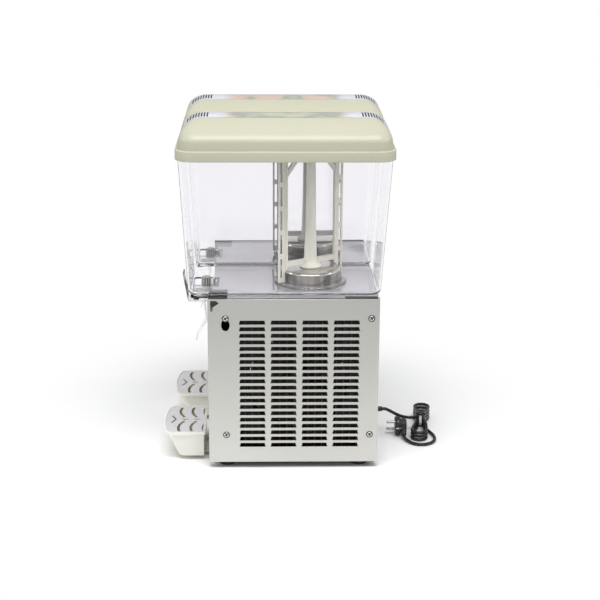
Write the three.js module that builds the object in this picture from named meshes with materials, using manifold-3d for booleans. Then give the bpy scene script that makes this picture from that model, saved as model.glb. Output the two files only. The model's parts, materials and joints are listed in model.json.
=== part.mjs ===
// Refrigerated drink dispenser with two lift-off bowls, each over a chilled drum with a magnetic stirrer.
// Millimetres, +Z up. The front, with taps and trays, looks along -Y; +X is the user's right.
// The origin is on the floor, under the middle of the whole machine.
import * as THREE from 'three'
import { mergeVertices } from 'three/addons/utils/BufferGeometryUtils.js'
import Module from 'manifold-3d'

const wasm = await Module()
wasm.setup()

// Fits shared by all pieces
const clearance = 0.3
const overrun = 5
const sheet = 1.5
const mergeDistance = 1e-3

// Two bowls side by side
const bowlSpacing = 207
const bowlSides = [{ side: 'right', x: bowlSpacing / 2 }, { side: 'left', x: -bowlSpacing / 2 }]

// Cabinet
const cabinetSideMargin = 3
const cabinetWidth = 2 * bowlSpacing + 2 * cabinetSideMargin
const cabinetDepth = 316
const cabinetTop = 332
const footHeight = 12
const foldDepth = 14
const frontRecess = 8
const panWallHeight = 20

// Facet counts
const roundFaceCount = 24
const cornerFaceCount = 4
const smallFaceCount = 12
const columnFaceCount = 16

const colours = {
  steel: 0xc9c7bf,
  brightSteel: 0xb9b6b0,
  ivory: 0xe2dfc9,
  clear: 0xe9ecef,
  black: 0x1c1c1d,
  copper: 0xa9683f,
  silver: 0xc2c3c8,
  castIron: 0x26272a,
  green: 0x2f7d4a,
  zinc: 0x9c9fa3,
}

function finish(colour, roughness, metalness, opacity = 1) {
  return new THREE.MeshStandardMaterial({ color: colour, roughness, metalness, opacity, transparent: opacity < 1 })
}

const looks = {
  sheetSteel: finish(colours.steel, 0.38, 0.7),
  brightSteel: finish(colours.brightSteel, 0.2, 1),
  ivoryPlastic: finish(colours.ivory, 0.32, 0),
  clearPlastic: finish(colours.clear, 0.08, 0, 0.3),
  silverPlastic: finish(colours.silver, 0.3, 0.2),
  blackPlastic: finish(colours.black, 0.45, 0),
  rubber: finish(colours.black, 0.85, 0),
  silicone: finish(colours.clear, 0.3, 0, 0.6),
  compressorShell: finish(colours.castIron, 0.5, 0.3),
  aluminium: finish(colours.zinc, 0.5, 0.8),
  copper: finish(colours.copper, 0.35, 0.9),
  greenPlastic: finish(colours.green, 0.4, 0),
}

// Closed triangle meshes become solids; a mesh wound inside out is turned round.
function signedVolume(positions, triangles) {
  const a = new THREE.Vector3()
  const b = new THREE.Vector3()
  const c = new THREE.Vector3()
  let sum = 0
  for (let i = 0; i < triangles.length; i += 3) {
    a.fromArray(positions, 3 * triangles[i])
    b.fromArray(positions, 3 * triangles[i + 1])
    c.fromArray(positions, 3 * triangles[i + 2])
    sum += a.dot(b.cross(c))
  }
  return sum
}

function solid(geometry) {
  const bare = geometry.clone()
  bare.deleteAttribute('normal')
  bare.deleteAttribute('uv')
  const merged = mergeVertices(bare, mergeDistance)
  const positions = merged.attributes.position.array
  const triangles = []
  const index = merged.index.array
  for (let i = 0; i < index.length; i += 3) {
    const [a, b, c] = [index[i], index[i + 1], index[i + 2]]
    if (a !== b && b !== c && c !== a) triangles.push(a, b, c)
  }
  if (signedVolume(positions, triangles) < 0) triangles.reverse()
  return new wasm.Manifold(new wasm.Mesh({
    numProp: 3,
    vertProperties: Float32Array.from(positions),
    triVerts: Uint32Array.from(triangles),
  }))
}

function join(first, ...others) {
  return others.reduce((whole, next) => whole.add(next), first)
}

function cut(first, ...tools) {
  return tools.reduce((whole, tool) => whole.subtract(tool), first)
}

function geometryOf(body) {
  const mesh = body.getMesh()
  const geometry = new THREE.BufferGeometry()
  geometry.setAttribute('position', new THREE.BufferAttribute(mesh.vertProperties, 3))
  geometry.setIndex(new THREE.BufferAttribute(mesh.triVerts, 1))
  geometry.computeVertexNormals()
  return geometry
}

// Simple solids between named limits
function box(x0, x1, y0, y1, z0, z1) {
  const geometry = new THREE.BoxGeometry(x1 - x0, y1 - y0, z1 - z0)
  return solid(geometry.translate((x0 + x1) / 2, (y0 + y1) / 2, (z0 + z1) / 2))
}

function outline(points) {
  return new THREE.Shape(points.map(([u, v]) => new THREE.Vector2(u, v)))
}

const ONE = new THREE.Vector3(1, 0, 0)
const TWO = new THREE.Vector3(0, 1, 0)
const UP = new THREE.Vector3(0, 0, 1)

function extruded(shape, depth, basis, shift) {
  const geometry = new THREE.ExtrudeGeometry(shape, { depth, bevelEnabled: false, curveSegments: cornerFaceCount })
  return solid(geometry.applyMatrix4(new THREE.Matrix4().makeBasis(...basis)).translate(...shift))
}

// A shape drawn in X and Y, in Y and Z, or in X and Z, between two limits on the third axis
function prismZ(shape, z0, z1) {
  return extruded(shape, z1 - z0, [ONE, TWO, UP], [0, 0, z0])
}

function prismX(shape, x0, x1) {
  return extruded(shape, x1 - x0, [TWO, UP, ONE], [x0, 0, 0])
}

function prismY(shape, y0, y1) {
  return extruded(shape, y1 - y0, [ONE, UP, TWO.clone().negate()], [0, y1, 0])
}

// A profile of [radius, height] points turned about a vertical axis at x, y
function turned(profile, x, y, faces = roundFaceCount) {
  const geometry = new THREE.LatheGeometry(profile.map(([r, h]) => new THREE.Vector2(r, h)), faces)
  return solid(geometry.rotateX(Math.PI / 2).translate(x, y, 0))
}

function drum(radius, z0, z1, x, y, faces = roundFaceCount) {
  return turned([[0, z0], [radius, z0], [radius, z1], [0, z1]], x, y, faces)
}

// The same about an axis along X through y, z, or along Y through x, z
function turnedAlongX(profile, y, z, faces = roundFaceCount) {
  const geometry = new THREE.LatheGeometry(profile.map(([r, h]) => new THREE.Vector2(r, h)), faces)
  return solid(geometry.rotateZ(-Math.PI / 2).translate(0, y, z))
}

function turnedAlongY(profile, x, z, faces = roundFaceCount) {
  const geometry = new THREE.LatheGeometry(profile.map(([r, h]) => new THREE.Vector2(r, h)), faces)
  return solid(geometry.translate(x, 0, z))
}

// A solid through matching rings of points, closed by flat ends
function loft(rings) {
  const count = rings[0].length
  const index = []
  for (let k = 0; k + 1 < rings.length; k++) {
    for (let i = 0; i < count; i++) {
      const j = (i + 1) % count
      const [a, b, c, d] = [k * count + i, k * count + j, (k + 1) * count + j, (k + 1) * count + i]
      index.push(a, b, c, a, c, d)
    }
  }
  const last = (rings.length - 1) * count
  for (let i = 1; i + 1 < count; i++) {
    index.push(0, i + 1, i)
    index.push(last, last + i, last + i + 1)
  }
  const geometry = new THREE.BufferGeometry()
  geometry.setAttribute('position', new THREE.Float32BufferAttribute(rings.flat(2), 3))
  geometry.setIndex(index)
  return solid(geometry)
}

// A ring of points round a rectangle with round corners, at height z
function roundedRing({ x0, x1, y0, y1, radius, z }) {
  const corners = [[x1 - radius, y1 - radius, 0], [x0 + radius, y1 - radius, 1],
    [x0 + radius, y0 + radius, 2], [x1 - radius, y0 + radius, 3]]
  return corners.flatMap(([cx, cy, quarter]) => Array.from({ length: cornerFaceCount + 1 }, (_, i) => {
    const angle = (quarter + i / cornerFaceCount) * Math.PI / 2
    return [cx + radius * Math.cos(angle), cy + radius * Math.sin(angle), z]
  }))
}

const machine = new THREE.Group()

function piece(name, body, look) {
  const mesh = new THREE.Mesh(geometryOf(body), look)
  mesh.name = name
  machine.add(mesh)
  return mesh
}

// Limits of the cabinet that the panels share
const halfWidth = cabinetWidth / 2
const halfDepth = cabinetDepth / 2
const innerHalf = halfWidth - sheet - clearance
const frontFace = -halfDepth + frontRecess
const rearFace = halfDepth - sheet - clearance

// Louvres: trapezoid slots with a lip pressed inwards at the upper edge
const louvreColumnCount = 4
const louvreRowCount = 20
const louvreHeight = 8
const louvreSlant = 1.85
const louvreGap = 9.2
const louvreFrontMargin = 57.4
const louvreRearMargin = 36.2
const louvreTopMargin = 40.5
const louvreBottomMargin = 30.2
const louvreSpan = cabinetDepth - louvreFrontMargin - louvreRearMargin
const louvreDrop = cabinetTop - louvreTopMargin - footHeight - louvreBottomMargin - louvreHeight
const louvreBottomWidth = (louvreSpan - (louvreColumnCount - 1) * louvreGap) / louvreColumnCount
const louvreTopWidth = louvreBottomWidth - 2 * louvreSlant
const louvrePitchAcross = louvreBottomWidth + louvreGap
const louvrePitchDown = louvreDrop / (louvreRowCount - 1)
const louvreFirstTop = cabinetTop - louvreTopMargin
const louvreFirstCentre = -halfDepth + louvreFrontMargin + louvreBottomWidth / 2

function louvreSlot(u, top) {
  return outline([
    [u - louvreBottomWidth / 2, top - louvreHeight], [u + louvreBottomWidth / 2, top - louvreHeight],
    [u + louvreTopWidth / 2, top], [u - louvreTopWidth / 2, top],
  ])
}

function eachLouvre(columns, rows, firstCentre, firstTop, visit) {
  for (let column = 0; column < columns; column++) {
    for (let row = 0; row < rows; row++) {
      visit(firstCentre + column * louvrePitchAcross, firstTop - row * louvrePitchDown)
    }
  }
}

// Side panel screws, the oval hole under the upper front one and the hole at the upper front corner
const screwRadius = 6.4
const screwHeadHeight = 1.8
const screwEdgeRadius = 5
const screwFrontInset = 32.7
const screwRearInset = 15
const screwFootInset = 54.8
const screwTopInset = 36.8
const screwYs = [-halfDepth + screwFrontInset, halfDepth - screwRearInset]
const screwZs = [footHeight + screwFootInset, cabinetTop - screwTopInset]
const ovalHalfWidth = 7.2
const ovalHalfHeight = 8.6
const ovalDrop = 52.4
const cornerHoleReach = 21.1
const cornerHoleDrop = 23.1
const cornerHoleShares = [[0.25, 0.12], [0.76, 0.12], [1, 0.34], [0.51, 0.64], [0.44, 1], [0.28, 1]]

function sidePanel() {
  const inner = halfWidth - sheet
  const face = box(inner, halfWidth, -halfDepth, halfDepth, footHeight, cabinetTop)
  const oval = outline(Array.from({ length: columnFaceCount }, (_, i) => {
    const angle = i / columnFaceCount * 2 * Math.PI
    return [screwYs[0] + ovalHalfWidth * Math.cos(angle), cabinetTop - ovalDrop + ovalHalfHeight * Math.sin(angle)]
  }))
  const corner = outline(cornerHoleShares.map(([back, down]) => (
    [-halfDepth + back * cornerHoleReach, cabinetTop - down * cornerHoleDrop])))
  const slots = [oval, corner].map((shape) => prismX(shape, inner - overrun, halfWidth + overrun))
  const folds = [-halfDepth, halfDepth - sheet].map(
    (y) => box(halfWidth - foldDepth, halfWidth, y, y + sheet, footHeight, cabinetTop))
  const heads = screwYs.flatMap((y) => screwZs.map((z) => turnedAlongX([
    [0, halfWidth - sheet / 2], [screwRadius, halfWidth - sheet / 2], [screwRadius, halfWidth + sheet / 2],
    [screwEdgeRadius, halfWidth + screwHeadHeight], [0, halfWidth + screwHeadHeight]], y, z, smallFaceCount)))
  eachLouvre(louvreColumnCount, louvreRowCount, louvreFirstCentre, louvreFirstTop, (u, top) => {
    slots.push(prismX(louvreSlot(u, top), inner - overrun, halfWidth + overrun))
  })
  return join(cut(face, wasm.Manifold.union(slots)), ...folds, ...heads)
}

const rightPanel = sidePanel()
piece('side_panel_right', rightPanel, looks.sheetSteel)
piece('side_panel_left', rightPanel.mirror([1, 0, 0]), looks.sheetSteel)

// Base pan with tongues that carry the drip trays, and four rubber feet
const trayTongueLength = 62
const trayTongueWidth = 16
const trayTongueOffset = 36
const trayFloor = 8
const footRadius = 18
const footTopRadius = 21
const footInsetX = 30
const footInsetY = 34
const footChamfer = 2
const panFloor = footHeight + sheet

function basePan() {
  const front = frontFace + sheet + clearance
  const rear = rearFace - sheet - clearance
  const outer = box(-innerHalf, innerHalf, front, rear, footHeight, footHeight + panWallHeight)
  const hollow = box(-innerHalf + sheet, innerHalf - sheet, front + sheet, rear - sheet,
    panFloor, footHeight + panWallHeight + overrun)
  const tongueTop = trayFloor - clearance
  const tongues = bowlSides.flatMap(({ x }) => [-1, 1].map((hand) => {
    const middle = x + hand * trayTongueOffset
    const section = outline([
      [front + sheet, panFloor], [front + sheet, footHeight], [front, footHeight - sheet / 2],
      [frontFace - sheet, tongueTop - sheet], [frontFace - trayTongueLength, tongueTop - sheet],
      [frontFace - trayTongueLength, tongueTop], [frontFace - sheet, tongueTop], [front, footHeight + sheet / 2],
    ])
    return prismX(section, middle - trayTongueWidth / 2, middle + trayTongueWidth / 2)
  }))
  return join(cut(outer, hollow), ...tongues)
}

piece('base_pan', basePan(), looks.sheetSteel)

for (const [sideName, signX] of [['right', 1], ['left', -1]]) {
  for (const [endName, signY] of [['front', -1], ['rear', 1]]) {
    const foot = turned([[0, 0], [footRadius - footChamfer, 0], [footRadius, footChamfer],
      [footTopRadius, footHeight - clearance], [0, footHeight - clearance]],
    signX * (halfWidth - footInsetX), signY * (halfDepth - footInsetY), smallFaceCount)
    piece(`foot_${endName}_${sideName}`, foot, looks.rubber)
  }
}

// Places that the bowls, the drums and the taps share
const drumSetback = 123.2
const drumY = rearFace - drumSetback
const drumRadius = 57
const drumRise = 33
const drumTop = cabinetTop + drumRise
const drumFlangeRadius = 64
const drumHoleRadius = 50
const valveReach = 13
const valveY = frontFace - valveReach
const sumpHalfWidth = 30
const sumpRearReach = 7
const sumpRear = frontFace + sumpRearReach
const sumpFrontReach = 41
const sumpFront = frontFace - sumpFrontReach
const sumpDepth = 18
const sumpBottom = cabinetTop - sumpDepth
const notchMargin = 4
const notchDepth = 33

// Black rest across the front, with a block at each end that shows over the front panel
const restRear = frontFace + 28
const restFront = frontFace + sheet + clearance
const restBottom = cabinetTop - notchDepth - 2
const restHalf = innerHalf - sheet - clearance
const restBlockInner = 151.8

// Top plate with drum holes and notches for the sumps
function topPlate() {
  const top = cabinetTop
  const rear = rearFace - sheet - clearance
  const outer = box(-innerHalf, innerHalf, frontFace, rear, top - foldDepth, top)
  const hollow = box(-innerHalf + sheet, innerHalf - sheet, frontFace + sheet, rear - sheet,
    top - foldDepth - overrun, top - sheet)
  const holes = bowlSides.map(({ x }) => drum(drumHoleRadius, top - foldDepth, top + overrun, x, drumY))
  const notches = bowlSides.map(({ x }) => box(x - sumpHalfWidth - notchMargin, x + sumpHalfWidth + notchMargin,
    frontFace - overrun, sumpRear + notchMargin, top - foldDepth - overrun, top + overrun))
  const block = restBlockInner - clearance
  const corners = [[-halfWidth, -block], [block, halfWidth]].map(([x0, x1]) => box(x0, x1,
    frontFace - overrun, restRear + clearance, top - foldDepth - overrun, top + overrun))
  return cut(outer, hollow, ...holes, ...notches, ...corners)
}

piece('top_plate', topPlate(), looks.sheetSteel)

// Switch plate on the front panel
const switchPlateHalfWidth = 44
const switchPlateDrop = 56
const switchPlateHeight = 40
const switchPlateTop = cabinetTop - switchPlateDrop
const switchPlateBottom = switchPlateTop - switchPlateHeight
const switchPlateThickness = 2.4
const switchCount = 3
const switchPitch = 27
const switchHalfWidth = 9
const switchHalfHeight = 13
const switchCentre = (switchPlateBottom + switchPlateTop) / 2
const switchNames = ['rocker_stirrer_left', 'rocker_power', 'rocker_stirrer_right']
const windowMargin = 3
const sideFoldDrop = 29

function frontPanel() {
  const rim = cabinetTop - foldDepth - clearance
  const inner = frontFace + sheet
  const section = outline([
    [-innerHalf, frontFace], [innerHalf, frontFace], [innerHalf, frontFace + foldDepth],
    [innerHalf - sheet, frontFace + foldDepth], [innerHalf - sheet, inner],
    [-innerHalf + sheet, inner], [-innerHalf + sheet, frontFace + foldDepth], [-innerHalf, frontFace + foldDepth],
  ])
  const body = prismZ(section, panFloor + panWallHeight, rim)
  const apron = box(-innerHalf, innerHalf, frontFace, inner, footHeight, panFloor + panWallHeight)
  const slots = bowlSides.flatMap(({ x }) => [-1, 1].map((hand) => {
    const middle = x + hand * trayTongueOffset
    const reach = trayTongueWidth / 2 + clearance
    return box(middle - reach, middle + reach, frontFace - overrun, inner + overrun,
      footHeight - overrun, footHeight + sheet + clearance)
  }))
  const notches = bowlSides.map(({ x }) => box(x - sumpHalfWidth - notchMargin, x + sumpHalfWidth + notchMargin,
    frontFace - overrun, inner + overrun, cabinetTop - notchDepth, cabinetTop))
  const window = box(-switchPlateHalfWidth + windowMargin, switchPlateHalfWidth - windowMargin,
    frontFace - overrun, inner + overrun, switchPlateBottom + windowMargin, switchPlateTop - windowMargin)
  const foldCuts = [-1, 1].map((hand) => box(hand * halfWidth - foldDepth, hand * halfWidth + foldDepth,
    inner, frontFace + foldDepth + overrun, cabinetTop - sideFoldDrop, cabinetTop))
  return cut(join(body, apron), ...slots, ...notches, ...foldCuts, window)
}

piece('front_panel', frontPanel(), looks.sheetSteel)

// Rear panel: louvres, a hole for the cord and one for each thermostat spindle
const rearLouvreRowCount = 8
const rearLouvreDrop = 87
const rearLouvreTop = cabinetTop - rearLouvreDrop
const glandX = 31
const glandZ = 48
const glandHoleRadius = 8
const controlBoxDrop = 24
const controlBoxHeight = 46
const controlBoxTop = cabinetTop - controlBoxDrop
const controlBoxBottom = controlBoxTop - controlBoxHeight
const knobX = 62
const knobZ = (controlBoxBottom + controlBoxTop) / 2
const spindleRadius = 3
const spindleHoleRadius = 4

function rearPanel() {
  const outerFace = rearFace
  const inner = rearFace - sheet
  const top = cabinetTop
  const face = box(-innerHalf, innerHalf, inner, outerFace, footHeight, top)
  const first = -(louvreColumnCount - 1) * louvrePitchAcross / 2
  const slots = []
  eachLouvre(louvreColumnCount, rearLouvreRowCount, first, rearLouvreTop, (u, slotTop) => {
    slots.push(prismY(louvreSlot(u, slotTop), inner - overrun, outerFace + overrun))
  })
  const holes = [
    turnedAlongY([[0, inner - overrun], [glandHoleRadius, inner - overrun],
      [glandHoleRadius, outerFace + overrun], [0, outerFace + overrun]], glandX, glandZ),
    ...[-knobX, knobX].map((x) => turnedAlongY([[0, inner - overrun], [spindleHoleRadius, inner - overrun],
      [spindleHoleRadius, outerFace + overrun], [0, outerFace + overrun]], x, knobZ, smallFaceCount)),
  ]
  return cut(face, wasm.Manifold.union(slots), ...holes)
}

piece('rear_panel', rearPanel(), looks.sheetSteel)

// Three rocker switches in their plate; each rocks about a pin along X
const rockerPivotDepth = 1.2
const rockerProud = 3.4
const rockerDepth = 9
const rockerTilt = THREE.MathUtils.degToRad(7)
const plateFront = frontFace - clearance - switchPlateThickness

function switchPlate() {
  const plate = box(-switchPlateHalfWidth, switchPlateHalfWidth, plateFront, frontFace - clearance,
    switchPlateBottom, switchPlateTop)
  const openings = switchNames.map((_, i) => {
    const x = (i - (switchCount - 1) / 2) * switchPitch
    return box(x - switchHalfWidth, x + switchHalfWidth, plateFront - overrun, frontFace + overrun,
      switchCentre - switchHalfHeight - clearance, switchCentre + switchHalfHeight + clearance)
  })
  return cut(plate, ...openings)
}

piece('switch_plate', switchPlate(), looks.blackPlastic)

switchNames.forEach((name, i) => {
  const x = (i - (switchCount - 1) / 2) * switchPitch
  const reach = switchHalfHeight * Math.cos(rockerTilt) - clearance
  const profile = outline([
    [-rockerProud, reach], [-rockerProud / 2, 0], [-rockerProud, -reach],
    [rockerDepth / 3, -reach], [rockerDepth, 0], [rockerDepth / 3, reach],
  ])
  const halfRocker = switchHalfWidth - clearance
  const rocker = prismX(profile, x - halfRocker, x + halfRocker)
    .rotate([THREE.MathUtils.radToDeg(rockerTilt), 0, 0])
    .translate([0, frontFace - rockerPivotDepth, switchCentre])
  piece(name, rocker, i === 1 ? looks.greenPlastic : looks.blackPlastic)
})

// Refrigeration set: compressor, finned condenser behind the right panel, fan, shroud and motor
const compressorSideInset = 114
const compressorX = -halfWidth + compressorSideInset
const compressorRearInset = 124
const compressorY = halfDepth - compressorRearInset
const compressorRadius = 72
const compressorRise = 16.5
const compressorBase = panFloor + compressorRise
const compressorDrop = 127
const compressorTop = cabinetTop - compressorDrop
const compressorSeam = (compressorBase + compressorTop) / 2
const compressorSeamProud = 3
const compressorShoulderShare = 0.82
const compressorCrownShare = 0.45
const compressorDome = 26
const compressorFootHalfX = 88
const compressorFootHalfY = 60
const compressorFootThickness = 3
const grommetRadius = 9
const grommetInset = 12

function compressor() {
  const shell = turned([
    [0, compressorBase], [compressorRadius - compressorDome, compressorBase],
    [compressorRadius, compressorBase + compressorDome], [compressorRadius, compressorSeam],
    [compressorRadius + compressorSeamProud, compressorSeam],
    [compressorRadius + compressorSeamProud, compressorSeam + compressorSeamProud],
    [compressorRadius, compressorSeam + compressorSeamProud], [compressorRadius, compressorTop - compressorDome],
    [compressorRadius * compressorShoulderShare, compressorTop - compressorDome / 3],
    [compressorRadius * compressorCrownShare, compressorTop],
    [0, compressorTop]], compressorX, compressorY)
  const plateTop = compressorBase + compressorFootThickness
  const plate = box(compressorX - compressorFootHalfX, compressorX + compressorFootHalfX,
    compressorY - compressorFootHalfY, compressorY + compressorFootHalfY, compressorBase, plateTop)
  const grommets = [-1, 1].flatMap((a) => [-1, 1].map((b) => drum(grommetRadius, panFloor + clearance, plateTop,
    compressorX + a * (compressorFootHalfX - grommetInset),
    compressorY + b * (compressorFootHalfY - grommetInset), smallFaceCount)))
  return join(shell, plate, ...grommets)
}

piece('compressor', compressor(), looks.compressorShell)

const condenserDepth = 28
const condenserOuter = halfWidth - foldDepth
const condenserInner = condenserOuter - condenserDepth
const condenserFrontInset = 40
const condenserFront = -halfDepth + condenserFrontInset
const condenserRearInset = 24
const condenserRear = halfDepth - condenserRearInset
const condenserDrop = 40
const condenserTop = cabinetTop - condenserDrop
const condenserFinCount = 20
const finThickness = 1.6
const headerThickness = 2

function condenser() {
  const foot = panFloor + clearance
  const pitch = (condenserRear - condenserFront - finThickness) / (condenserFinCount - 1)
  const fins = Array.from({ length: condenserFinCount }, (_, i) => {
    const y = condenserFront + i * pitch
    return box(condenserInner, condenserOuter, y, y + finThickness, foot, condenserTop)
  })
  const ends = [foot, condenserTop - headerThickness].map(
    (z) => box(condenserInner, condenserOuter, condenserFront, condenserRear, z, z + headerThickness))
  return wasm.Manifold.union([...fins, ...ends])
}

piece('condenser', condenser(), looks.aluminium)

const fanY = (condenserFront + condenserRear) / 2
const fanZ = (panFloor + clearance + condenserTop) / 2
const fanRadius = 92
const fanTip = 4
const shroudThickness = 2
const shroudLip = 12
const shroudOuter = condenserInner - clearance
const fanHubRadius = 22
const fanBladeCount = 5
const fanStationCount = 4
const fanRootShare = 0.8
const fanRootPitch = 52
const fanTwist = 20
const fanChordShare = 0.8
const fanBladeDepth = 18
const fanBladeThickness = 2
const fanMotorRadius = 36
const fanMotorLength = 44
const fanShaftRadius = 4
const armThickness = 5
const armWidth = 12
const armAngles = [45, 135]
const fanMotorEndShare = 0.8

const shroudInner = shroudOuter - shroudThickness
const fanFront = shroudInner - clearance - fanTip
const fanBack = fanFront - fanBladeDepth
const motorFace = fanBack - fanTip

function fanShroud() {
  const foot = panFloor + clearance
  const plate = box(shroudInner, shroudOuter, condenserFront, condenserRear, foot, condenserTop)
  const holeRadius = fanRadius + fanTip
  const collar = turnedAlongX([[holeRadius, shroudInner - shroudLip], [holeRadius + shroudThickness, shroudInner - shroudLip],
    [holeRadius + shroudThickness, shroudOuter], [holeRadius, shroudOuter], [holeRadius, shroudInner - shroudLip]],
  fanY, fanZ)
  const hole = turnedAlongX([[0, shroudInner - overrun], [holeRadius, shroudInner - overrun],
    [holeRadius, shroudOuter + overrun], [0, shroudOuter + overrun]], fanY, fanZ)
  return join(cut(plate, hole), collar)
}

piece('fan_shroud', fanShroud(), looks.sheetSteel)

// Each blade is a twisted plate: rings of four corners from the hub to the tip
function fanRotor() {
  const hubBore = fanShaftRadius + clearance
  const hub = turnedAlongX([[hubBore, fanBack], [fanHubRadius, fanBack], [fanHubRadius, fanFront],
    [hubBore, fanFront], [hubBore, fanBack]], fanY, fanZ, smallFaceCount)
  const root = fanHubRadius * fanRootShare
  const blade = loft(Array.from({ length: fanStationCount + 1 }, (_, i) => {
    const share = i / fanStationCount
    const radius = root + (fanRadius - root) * share
    const pitchAngle = THREE.MathUtils.degToRad(fanRootPitch - fanTwist * share)
    const chord = fanBladeDepth / Math.sin(pitchAngle) * fanChordShare
    const along = Math.sin(pitchAngle) * chord / 2
    const across = Math.cos(pitchAngle) * chord / 2
    const middle = (fanFront + fanBack) / 2
    const thick = fanBladeThickness / 2
    return [[middle - along, across + thick, radius], [middle + along, -across + thick, radius],
      [middle + along, -across - thick, radius], [middle - along, across - thick, radius]]
  }))
  const blades = Array.from({ length: fanBladeCount }, (_, i) => (
    blade.rotate([i * 360 / fanBladeCount, 0, 0]).translate([0, fanY, fanZ])))
  const bore = turnedAlongX([[0, fanBack - overrun], [hubBore, fanBack - overrun], [hubBore, fanFront + overrun],
    [0, fanFront + overrun]], fanY, fanZ, smallFaceCount)
  return cut(join(hub, ...blades), bore)
}

piece('fan_rotor', fanRotor(), looks.aluminium)

// The motor hangs on four arms whose feet sit on the shroud
function fanMotor() {
  const back = motorFace - fanMotorLength
  const can = turnedAlongX([[0, back], [fanMotorRadius * fanMotorEndShare, back], [fanMotorRadius, back + armThickness],
    [fanMotorRadius, motorFace], [fanShaftRadius, motorFace], [fanShaftRadius, fanFront], [0, fanFront]],
  fanY, fanZ, smallFaceCount)
  const reach = fanRadius + fanTip + shroudThickness + armWidth
  const bar = box(motorFace - armThickness - armWidth, motorFace - armWidth, -reach, reach,
    -armWidth / 2, armWidth / 2)
  const legs = [-1, 1].map((hand) => box(motorFace - armThickness - armWidth, shroudInner - clearance,
    hand * (reach - armThickness / 2) - armThickness / 2, hand * (reach - armThickness / 2) + armThickness / 2,
    -armWidth / 2, armWidth / 2))
  const cross = join(bar, ...legs)
  const arms = armAngles.map((angle) => cross.rotate([angle, 0, 0]).translate([0, fanY, fanZ]))
  return join(can, ...arms)
}

piece('fan_motor', fanMotor(), looks.compressorShell)

// Each bowl stands over a chilled drum; a motor under the top plate turns a magnet inside the drum
const drumWall = 1.5
const hubRadius = 4.5
const hubRise = 27
const hubTop = drumTop + hubRise
const gasketHeight = 3
const motorRadius = 34
const motorHeight = 80.2
const motorTop = cabinetTop - sheet - clearance
const motorBottom = motorTop - motorHeight
const motorEarHalf = 56
const motorEarWidth = 9
const motorShaftRadius = 4
const motorCrown = 4
const magnetRadius = 42
const magnetRise = 12
const magnetBottom = cabinetTop + magnetRise
const magnetHeight = 12
const magnetHubRadius = 9
const flangeBottom = cabinetTop + clearance
const flangeTop = flangeBottom + drumWall
const gasketBottom = flangeTop + clearance
const gasketTop = gasketBottom + gasketHeight
const drumEdge = 4
const drumEdgeShare = 0.3

for (const { side, x } of bowlSides) {
  const shell = turned([
    [drumRadius - drumWall, flangeBottom], [drumFlangeRadius, flangeBottom], [drumFlangeRadius, flangeTop],
    [drumRadius, flangeTop], [drumRadius, drumTop - drumEdge], [drumRadius - drumEdge * drumEdgeShare, drumTop - drumEdge * drumEdgeShare],
    [drumRadius - drumEdge, drumTop],
    [hubRadius, drumTop], [hubRadius, hubTop - hubRadius], [hubRadius / 2, hubTop], [0, hubTop],
    [0, drumTop - drumWall], [drumRadius - drumEdge, drumTop - drumWall],
    [drumRadius - drumWall, drumTop - drumEdge], [drumRadius - drumWall, flangeBottom]], x, drumY)
  piece(`evaporator_drum_${side}`, shell, looks.brightSteel)

  const gasketInner = drumRadius + clearance
  piece(`drum_gasket_${side}`, turned([
    [gasketInner, gasketBottom], [drumFlangeRadius, gasketBottom],
    [drumFlangeRadius, gasketTop], [gasketInner, gasketTop], [gasketInner, gasketBottom]], x, drumY), looks.silicone)

  const can = turned([
    [0, motorBottom], [motorRadius, motorBottom], [motorRadius, motorTop - motorCrown],
    [motorShaftRadius * 2, motorTop], [motorShaftRadius, motorTop],
    [motorShaftRadius, magnetBottom + magnetHeight], [0, magnetBottom + magnetHeight]], x, drumY, smallFaceCount)
  const ear = box(x - motorEarHalf, x + motorEarHalf, drumY - motorEarWidth, drumY + motorEarWidth,
    motorTop - motorCrown - sheet, motorTop - motorCrown)
  const pads = [-1, 1].map((hand) => box(
    x + hand * (motorEarHalf - motorEarWidth / 4) - motorEarWidth / 4,
    x + hand * (motorEarHalf - motorEarWidth / 4) + motorEarWidth / 4,
    drumY - motorEarWidth, drumY + motorEarWidth, motorTop - motorCrown - sheet, motorTop))
  piece(`stirrer_motor_${side}`, join(can, ear, ...pads), looks.compressorShell)

  const magnetBore = motorShaftRadius + 2 * clearance
  piece(`magnet_rotor_${side}`, turned([
    [magnetBore, magnetBottom], [magnetRadius, magnetBottom], [magnetRadius, magnetBottom + magnetHeight / 2],
    [magnetHubRadius, magnetBottom + magnetHeight / 2], [magnetHubRadius, magnetBottom + magnetHeight - clearance],
    [magnetBore, magnetBottom + magnetHeight - clearance], [magnetBore, magnetBottom]], x, drumY, smallFaceCount),
  looks.blackPlastic)
}

// Bowl: tapered clear tub with a raised collar round the drum and a sump over the tap
const bowlBottom = cabinetTop + clearance
const bowlHeight = 267.7
const bowlTop = bowlBottom + bowlHeight
const bowlWall = 3
const bowlFloor = 4.2
const bowlSideGap = 3.5
const bowlTopHalf = bowlSpacing / 2 - bowlSideGap
const bowlFrontReach = 60
const bowlTopFront = frontFace - bowlFrontReach
const bowlRearReach = 23.8
const bowlTopRear = rearFace + bowlRearReach
const bowlTaperX = 12
const bowlTaperFront = 15
const bowlTaperRear = 18
const bowlCornerTop = 30
const bowlCornerBottom = 24
const bowlEdge = 8
const collarHeight = 4.4
const collarWidth = 9
const sumpTaper = 3
const outletRadius = 6
const collarEdge = 1
const outerEdgeShares = [0, 0.12, 0.45, 1]
const innerEdgeShares = [0, 0.3, 1]
const innerEdgeInsetShares = [1, 0.33, 0, 0]

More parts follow.
